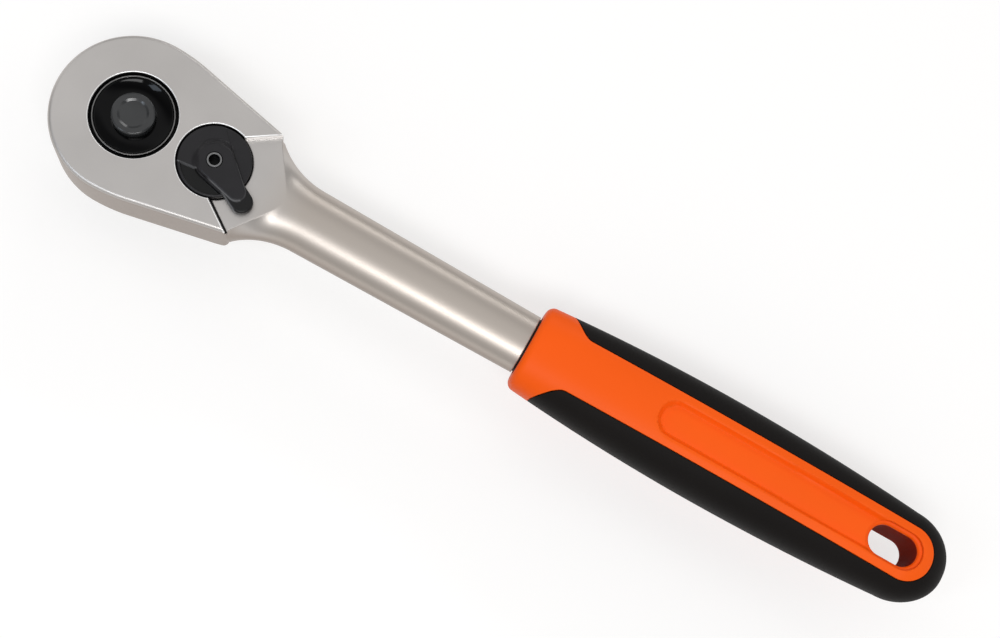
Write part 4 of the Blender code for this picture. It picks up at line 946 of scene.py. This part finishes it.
# Dark red of the painted shade in the hang hole
HOLE_SHADE_TONE = (0.25, 0.014, 0.0008)
SLEEVE_TONE = (0.0075, 0.006, 0.0054)

# Values that all finishes share
DRIFT_DETAIL = 3
DRIFT_LOW = 0.3
DRIFT_HIGH = 0.7
GRAIN_DETAIL = 2
GLOSS_SPREAD = 0.12
EDGE_SAMPLES = 6

# How level a face of the forging is where the painted shade on its upright sides starts, and where it is
# full
SIDE_SHADE_START = 0.65
SIDE_SHADE_END = 0.1

# Places of the colour sockets on the Mix node, whose names repeat
MIX_FIRST = 6
MIX_SECOND = 7
MIX_RESULT = 2


def finish(name, tone, roughness, vary, patch, grain, bump, metallic=0.0, edge=0.0, specular=0.5):
    """Procedural finish: a tone that drifts in soft patches, a fine grain, and edges that catch light.

    vary is the share by which the tone drifts, patch and grain are features per metre, bump is the grain's
    height in metres and edge the radius of the softened edges.
    """
    material = bpy.data.materials.new(name)
    material.use_nodes = True
    nodes = material.node_tree.nodes
    links = material.node_tree.links
    shader = nodes["Principled BSDF"]
    shader.inputs["Metallic"].default_value = metallic
    shader.inputs["Specular IOR Level"].default_value = specular
    place = nodes.new("ShaderNodeTexCoord")

    drift = nodes.new("ShaderNodeTexNoise")
    drift.inputs["Scale"].default_value = patch
    drift.inputs["Detail"].default_value = DRIFT_DETAIL
    links.new(place.outputs["Object"], drift.inputs["Vector"])
    patches = nodes.new("ShaderNodeValToRGB")
    dark, light = patches.color_ramp.elements
    dark.position = DRIFT_LOW
    dark.color = (*(c * (1 - vary) for c in tone), 1)
    light.position = DRIFT_HIGH
    light.color = (*(min(c * (1 + vary), 1) for c in tone), 1)
    links.new(drift.outputs["Fac"], patches.inputs["Fac"])
    links.new(patches.outputs["Color"], shader.inputs["Base Color"])

    speck = nodes.new("ShaderNodeTexNoise")
    speck.inputs["Scale"].default_value = grain
    speck.inputs["Detail"].default_value = GRAIN_DETAIL
    links.new(place.outputs["Object"], speck.inputs["Vector"])
    gloss = nodes.new("ShaderNodeMapRange")
    gloss.inputs["To Min"].default_value = roughness * (1 - GLOSS_SPREAD)
    gloss.inputs["To Max"].default_value = min(roughness * (1 + GLOSS_SPREAD), 1)
    links.new(speck.outputs["Fac"], gloss.inputs["Value"])
    links.new(gloss.outputs["Result"], shader.inputs["Roughness"])

    relief = nodes.new("ShaderNodeBump")
    relief.inputs["Strength"].default_value = 1
    relief.inputs["Distance"].default_value = bump
    links.new(speck.outputs["Fac"], relief.inputs["Height"])
    if edge:
        soft = nodes.new("ShaderNodeBevel")
        soft.samples = EDGE_SAMPLES
        soft.inputs["Radius"].default_value = edge
        links.new(soft.outputs["Normal"], relief.inputs["Normal"])
    links.new(relief.outputs["Normal"], shader.inputs["Normal"])
    return material


def coordinate(tree, kind, axis):
    """One axis of a place on a piece ("Object"), or of the way that its surface faces there ("Normal")."""
    parts = tree.nodes.new("ShaderNodeSeparateXYZ")
    tree.links.new(tree.nodes["Texture Coordinate"].outputs[kind], parts.inputs["Vector"])
    return parts.outputs[axis]


def calculate(tree, operation, *sources):
    """Result of a Math node on plain numbers and on what other nodes give."""
    node = tree.nodes.new("ShaderNodeMath")
    node.operation = operation
    for source, socket in zip(sources, node.inputs):
        if isinstance(source, float):
            socket.default_value = source
        else:
            tree.links.new(source, socket)
    return node.outputs[0]


def share_between(tree, value, start, end, interpolation="SMOOTHSTEP"):
    """Goes from nought at one value to one at another, softly unless told otherwise."""
    share = tree.nodes.new("ShaderNodeMapRange")
    share.interpolation_type = interpolation
    share.inputs["From Min"].default_value = start
    share.inputs["From Max"].default_value = end
    tree.links.new(value, share.inputs["Value"])
    return share.outputs["Result"]


def tint(material, tone, share):
    """Blends a tone into a finish, by a share that another node gives."""
    tree = material.node_tree
    base = tree.nodes["Principled BSDF"].inputs["Base Color"]
    mix = tree.nodes.new("ShaderNodeMix")
    mix.data_type = "RGBA"
    mix.inputs[MIX_SECOND].default_value = (*tone, 1)
    tree.links.new(base.links[0].from_socket, mix.inputs[MIX_FIRST])
    tree.links.new(share, mix.inputs["Factor"])
    tree.links.new(mix.outputs[MIX_RESULT], base)


def paint_shade_below_rim(material, bottom, top):
    """Paints shade on a finish by darkening it between two levels, apart from a thin rim below the upper
    one.
    """
    tree = material.node_tree
    height = coordinate(tree, "Object", "Z")
    above = share_between(tree, height, bottom, bottom + RUN_GAP, "LINEAR")
    below = share_between(tree, height, top - WELD, top - FIT_GAP, "LINEAR")
    tint(material, SHADE_BLACK_TONE, calculate(tree, "MULTIPLY", above, below))


def tint_by_attribute(material, tone, attribute):
    """Blends a tone into a finish where the piece's mesh holds a value for it."""
    value = material.node_tree.nodes.new("ShaderNodeAttribute")
    value.attribute_name = attribute
    tint(material, tone, value.outputs["Fac"])


def tint_rim(material, tone, top):
    """Blends a tone into a finish at the thin rim below a level."""
    tree = material.node_tree
    height = coordinate(tree, "Object", "Z")
    tint(material, tone, share_between(tree, height, top - 2 * FIT_GAP, top - FIT_GAP))


def tint_forging_and_side_shade(material):
    """Gives the shank a warmer tone than the finished head, and paints shade on the upright sides with a
    darker tone.
    """
    tree = material.node_tree
    along = coordinate(tree, "Object", "X")
    tint(material, SHANK_TONE, share_between(tree, along, HEAD_REAR_X - BREAK, NECK_END_X))
    level = calculate(tree, "ABSOLUTE", coordinate(tree, "Normal", "Z"))
    # Painted shade: faces darken as they turn upright
    tint(material, SIDE_SHADE_TONE, share_between(tree, level, SIDE_SHADE_START, SIDE_SHADE_END))


FORGED = finish(
    "satin_forging", FORGED_TONE, roughness=0.4, metallic=1.0,
    vary=0.05, patch=45, grain=2600, bump=4e-6, edge=0.0004,
)
tint_forging_and_side_shade(FORGED)
# Painted shade for the forging's bores and grooves
BORE_SHADE = finish(
    "painted_bore_shade", SHADE_BLACK_TONE, roughness=0.5, metallic=0.6,
    vary=0.1, patch=200, grain=3000, bump=3e-6,
)
# Painted highlight for the hole mouths and the stop faces
HIGHLIGHT_EDGE = finish(
    "painted_highlight_edge", PAINTED_HIGHLIGHT_TONE, roughness=0.42, metallic=1.0,
    vary=0.02, patch=150, grain=3500, bump=1e-6,
)
GEAR = finish(
    "gear_steel", GEAR_TONE, roughness=0.3, metallic=1.0,
    vary=0.05, patch=120, grain=4000, bump=2e-6, edge=0.0002,
)
# Painted shade: the gear is darkened below its rim, so that the gap round the hub looks black
paint_shade_below_rim(GEAR, HEAD_BOTTOM, GEAR_HIGH.z)
tint_rim(GEAR, HUB_RIM_TONE, GEAR_HIGH.z)
STEEL = finish(
    "bright_steel", STEEL_TONE, roughness=0.28, metallic=1.0,
    vary=0.05, patch=150, grain=4000, bump=2e-6, edge=0.0001,
)
PLATE = finish(
    "plate_steel", PLATE_TONE, roughness=0.38, metallic=1.0,
    vary=0.06, patch=90, grain=3500, bump=3e-6, edge=0.0002,
)
SPRING = finish(
    "spring_steel", SPRING_TONE, roughness=0.3, metallic=1.0,
    vary=0.05, patch=300, grain=5000, bump=1e-6,
)
BLACK_OXIDE = finish(
    "black_oxide", SNAP_RING_TONE, roughness=0.42, metallic=0.8,
    vary=0.1, patch=200, grain=4000, bump=3e-6, edge=0.0001,
)
RIVET = finish(
    "rivet_steel", RIVET_TONE, roughness=0.35, metallic=1.0,
    vary=0.08, patch=250, grain=4000, bump=2e-6, edge=0.0001,
)
# Painted shade: the spindle is darkened below its top, so that the hole in the lever looks black
paint_shade_below_rim(RIVET, SPINDLE_LOW.z - BREAK, SPINDLE_HIGH.z)
BALL = finish(
    "polished_ball", BALL_TONE, roughness=0.12, metallic=1.0,
    vary=0.03, patch=400, grain=6000, bump=5e-7,
)
GLOSS_BLACK = finish(
    "gloss_black", COLLAR_TONE, roughness=0.07, specular=0.12,
    vary=0.2, patch=200, grain=3000, bump=5e-7,
)
BUTTON = finish(
    "button_grey", BUTTON_TONE, roughness=0.18, specular=0.55,
    vary=0.08, patch=220, grain=3500, bump=1e-6,
)
CHARCOAL = finish(
    "lever_charcoal", LEVER_TONE, roughness=0.34, specular=0.25,
    vary=0.12, patch=160, grain=3200, bump=5e-6,
)
# Painted shade in the finger hollow and on the tab
tint_by_attribute(CHARCOAL, LEVER_PAINTED_SHADE_TONE, "painted_shade")
# Painted highlight lines along the arm, the tab and the finger hollow
tint_by_attribute(CHARCOAL, LEVER_HIGHLIGHT_TONE, "painted_highlight")
RUBBER = finish(
    "seal_rubber", RUBBER_TONE, roughness=0.6, specular=0.3,
    vary=0.1, patch=200, grain=3000, bump=3e-6,
)
ORANGE = finish(
    "orange_moulding", ORANGE_TONE, roughness=0.46, specular=0.16,
    vary=0.02, patch=40, grain=2400, bump=6e-6, edge=0.0003,
)
# Painted shade for the hang hole's walls
HANG_HOLE_SHADE = finish(
    "painted_shade_orange", HOLE_SHADE_TONE, roughness=0.6, specular=0.02,
    vary=0.05, patch=60, grain=2400, bump=6e-6,
)
SOFT_BLACK = finish(
    "soft_black", SLEEVE_TONE, roughness=0.6, specular=0.1,
    vary=0.08, patch=60, grain=2200, bump=1e-5, edge=0.0003,
)

NODE_FINISHES = {
    "drive_gear": GEAR,
    "hub_seal": RUBBER,
    "release_pin": STEEL,
    "button_spring": SPRING,
    "detent_ball": BALL,
    "cover_plate": PLATE,
    "cover_snap_ring": BLACK_OXIDE,
    "reverser_spindle": RIVET,
    "spindle_ring": SPRING,
    "spindle_seal": RUBBER,
    "detent_plunger": STEEL,
    "plunger_spring": SPRING,
    "pawl": STEEL,
    "pawl_pin": STEEL,
}


def dress_nodes():
    """Finishes and smooth shading for the CAD nodes that show as they are."""
    for name, material in NODE_FINISHES.items():
        node = frame["nodes"][name]
        node.data.materials.clear()
        node.data.materials.append(material)
        node.data.shade_smooth()
        weld = node.modifiers.new("Weld", "WELD")
        weld.merge_threshold = WELD
        edges = node.modifiers.new("Keep edges", "EDGE_SPLIT")
        edges.split_angle = SHARP_ANGLE


# Studio

CAMERA_TARGET = Vector((0.10403, 0.00239, 0.025))
CAMERA_TILT = math.radians(12.98)
CAMERA_LEAN = math.radians(-1.0)
CAMERA_ROLL = math.radians(29.5)
CAMERA_DISTANCE = 0.45
CAMERA_LENS = 64.07
CAMERA_NEAREST = 0.01
WHITE = (1.0, 1.0, 1.0)
PALE_BLUE = (0.75, 0.86, 1.0)
FLOOR_SIZE = 6.0
FLOOR_TONE = (0.5, 0.49, 0.48)
FLOOR_GLOW = 0.54

# Light of the sky in bands: how far towards the far side, from -1 to 1, and the level there
SKY_STOPS = (
    (-1.0, 0.6),
    (-0.6, 0.65),
    (-0.35, 0.42),
    (-0.1, 0.27),
    (0.18, 0.94),
    (0.36, 0.94),
    (0.6, 0.45),
    (1.0, 0.38),
)

# Soft boxes round the camera's target
LAMP_DISTANCE = 1.0
LAMPS = {
    "near_panel": dict(direction=(0.124, -0.372, 0.918), size=(0.5, 0.2), level=10, colour=WHITE),
    "blue_panel": dict(direction=(-0.385, -0.394, 0.827), size=(0.15, 0.3), level=7, colour=PALE_BLUE),
    "far_panel": dict(direction=(-0.1, 0.854, 0.51), size=(0.6, 0.14), level=4, colour=WHITE),
}


def make_camera():
    """Camera above the handle, tilted towards the near side and rolled so that the handle runs downhill."""
    back = Vector(
        (
            math.sin(CAMERA_LEAN),
            -math.sin(CAMERA_TILT) * math.cos(CAMERA_LEAN),
            math.cos(CAMERA_TILT) * math.cos(CAMERA_LEAN),
        )
    )
    along = Vector((1, 0, 0))
    along = (along - back * along.dot(back)).normalized()
    across = back.cross(along)
    right = along * math.cos(CAMERA_ROLL) + across * math.sin(CAMERA_ROLL)
    up = across * math.cos(CAMERA_ROLL) - along * math.sin(CAMERA_ROLL)
    data = bpy.data.cameras.new("photo_camera")
    data.lens = CAMERA_LENS
    data.clip_start = CAMERA_NEAREST
    camera = bpy.data.objects.new("photo_camera", data)
    bpy.context.scene.collection.objects.link(camera)
    turn = Matrix((right, up, back)).transposed().to_4x4()
    camera.matrix_world = Matrix.Translation(CAMERA_TARGET + back * CAMERA_DISTANCE) @ turn
    bpy.context.scene.camera = camera


def make_softbox(name, direction, size, level, colour):
    """Rectangular lamp that faces the object and shows an even level in reflections."""
    data = bpy.data.lights.new(name, "AREA")
    data.shape = "RECTANGLE"
    data.size, data.size_y = size
    data.energy = level * math.pi * size[0] * size[1]
    data.color = colour
    lamp = bpy.data.objects.new(name, data)
    bpy.context.scene.collection.objects.link(lamp)
    towards = Vector(direction).normalized()
    lamp.location = CAMERA_TARGET + towards * LAMP_DISTANCE
    lamp.rotation_euler = towards.to_track_quat("Z", "Y").to_euler()
    lamp.visible_camera = False


def make_floor():
    """Plain pale floor that keeps the shadow, and looks lighter to the camera and in reflections."""
    bm = bmesh.new()
    bmesh.ops.create_grid(bm, x_segments=1, y_segments=1, size=FLOOR_SIZE / 2)
    floor = add_mesh("floor", bm)
    floor.location = (CAMERA_TARGET.x, 0, cad_bounds[0][2] - RUN_GAP)
    material = bpy.data.materials.new("pale_floor")
    material.use_nodes = True
    tree = material.node_tree
    shader = tree.nodes["Principled BSDF"]
    shader.inputs["Base Color"].default_value = (*FLOOR_TONE, 1)
    shader.inputs["Roughness"].default_value = 1
    shader.inputs["Specular IOR Level"].default_value = 0
    shader.inputs["Emission Color"].default_value = (*WHITE, 1)
    ray = tree.nodes.new("ShaderNodeLightPath")
    seen = ray.outputs["Is Camera Ray"]
    for kind in ("Is Glossy Ray", "Is Transmission Ray"):
        seen = calculate(tree, "MAXIMUM", seen, ray.outputs[kind])
    glow = calculate(tree, "MULTIPLY", seen, FLOOR_GLOW)
    tree.links.new(glow, shader.inputs["Emission Strength"])
    floor.data.materials.append(material)


def make_sky():
    """Studio surroundings: bands of light across the sky from the near side to the far side."""
    world = bpy.data.worlds.new("studio")
    bpy.context.scene.world = world
    world.use_nodes = True
    nodes = world.node_tree.nodes
    links = world.node_tree.links
    near = SKY_STOPS[0][0]
    far = SKY_STOPS[-1][0]
    coordinates = nodes.new("ShaderNodeTexCoord")
    direction = nodes.new("ShaderNodeSeparateXYZ")
    links.new(coordinates.outputs["Generated"], direction.inputs["Vector"])
    across = nodes.new("ShaderNodeMapRange")
    across.inputs["From Min"].default_value = near
    across.inputs["From Max"].default_value = far
    links.new(direction.outputs["Y"], across.inputs["Value"])
    bands = nodes.new("ShaderNodeValToRGB")
    bands.color_ramp.interpolation = "EASE"
    stops = bands.color_ramp.elements
    for place, _ in SKY_STOPS[1:-1]:
        stops.new((place - near) / (far - near))
    for stop, (_, level) in zip(stops, SKY_STOPS):
        stop.color = (level, level, level, 1)
    links.new(across.outputs["Result"], bands.inputs["Fac"])
    links.new(bands.outputs["Color"], nodes["Background"].inputs["Color"])


make_body(FORGED, BORE_SHADE, HIGHLIGHT_EDGE)
make_collar(GLOSS_BLACK)
make_button(BUTTON)
make_lever(CHARCOAL)
make_grip(ORANGE, SOFT_BLACK, HANG_HOLE_SHADE)
dress_nodes()

make_camera()
make_floor()
make_sky()
for lamp_name, lamp in LAMPS.items():
    make_softbox(lamp_name, **lamp)
bpy.context.scene.view_settings.view_transform = "Standard"
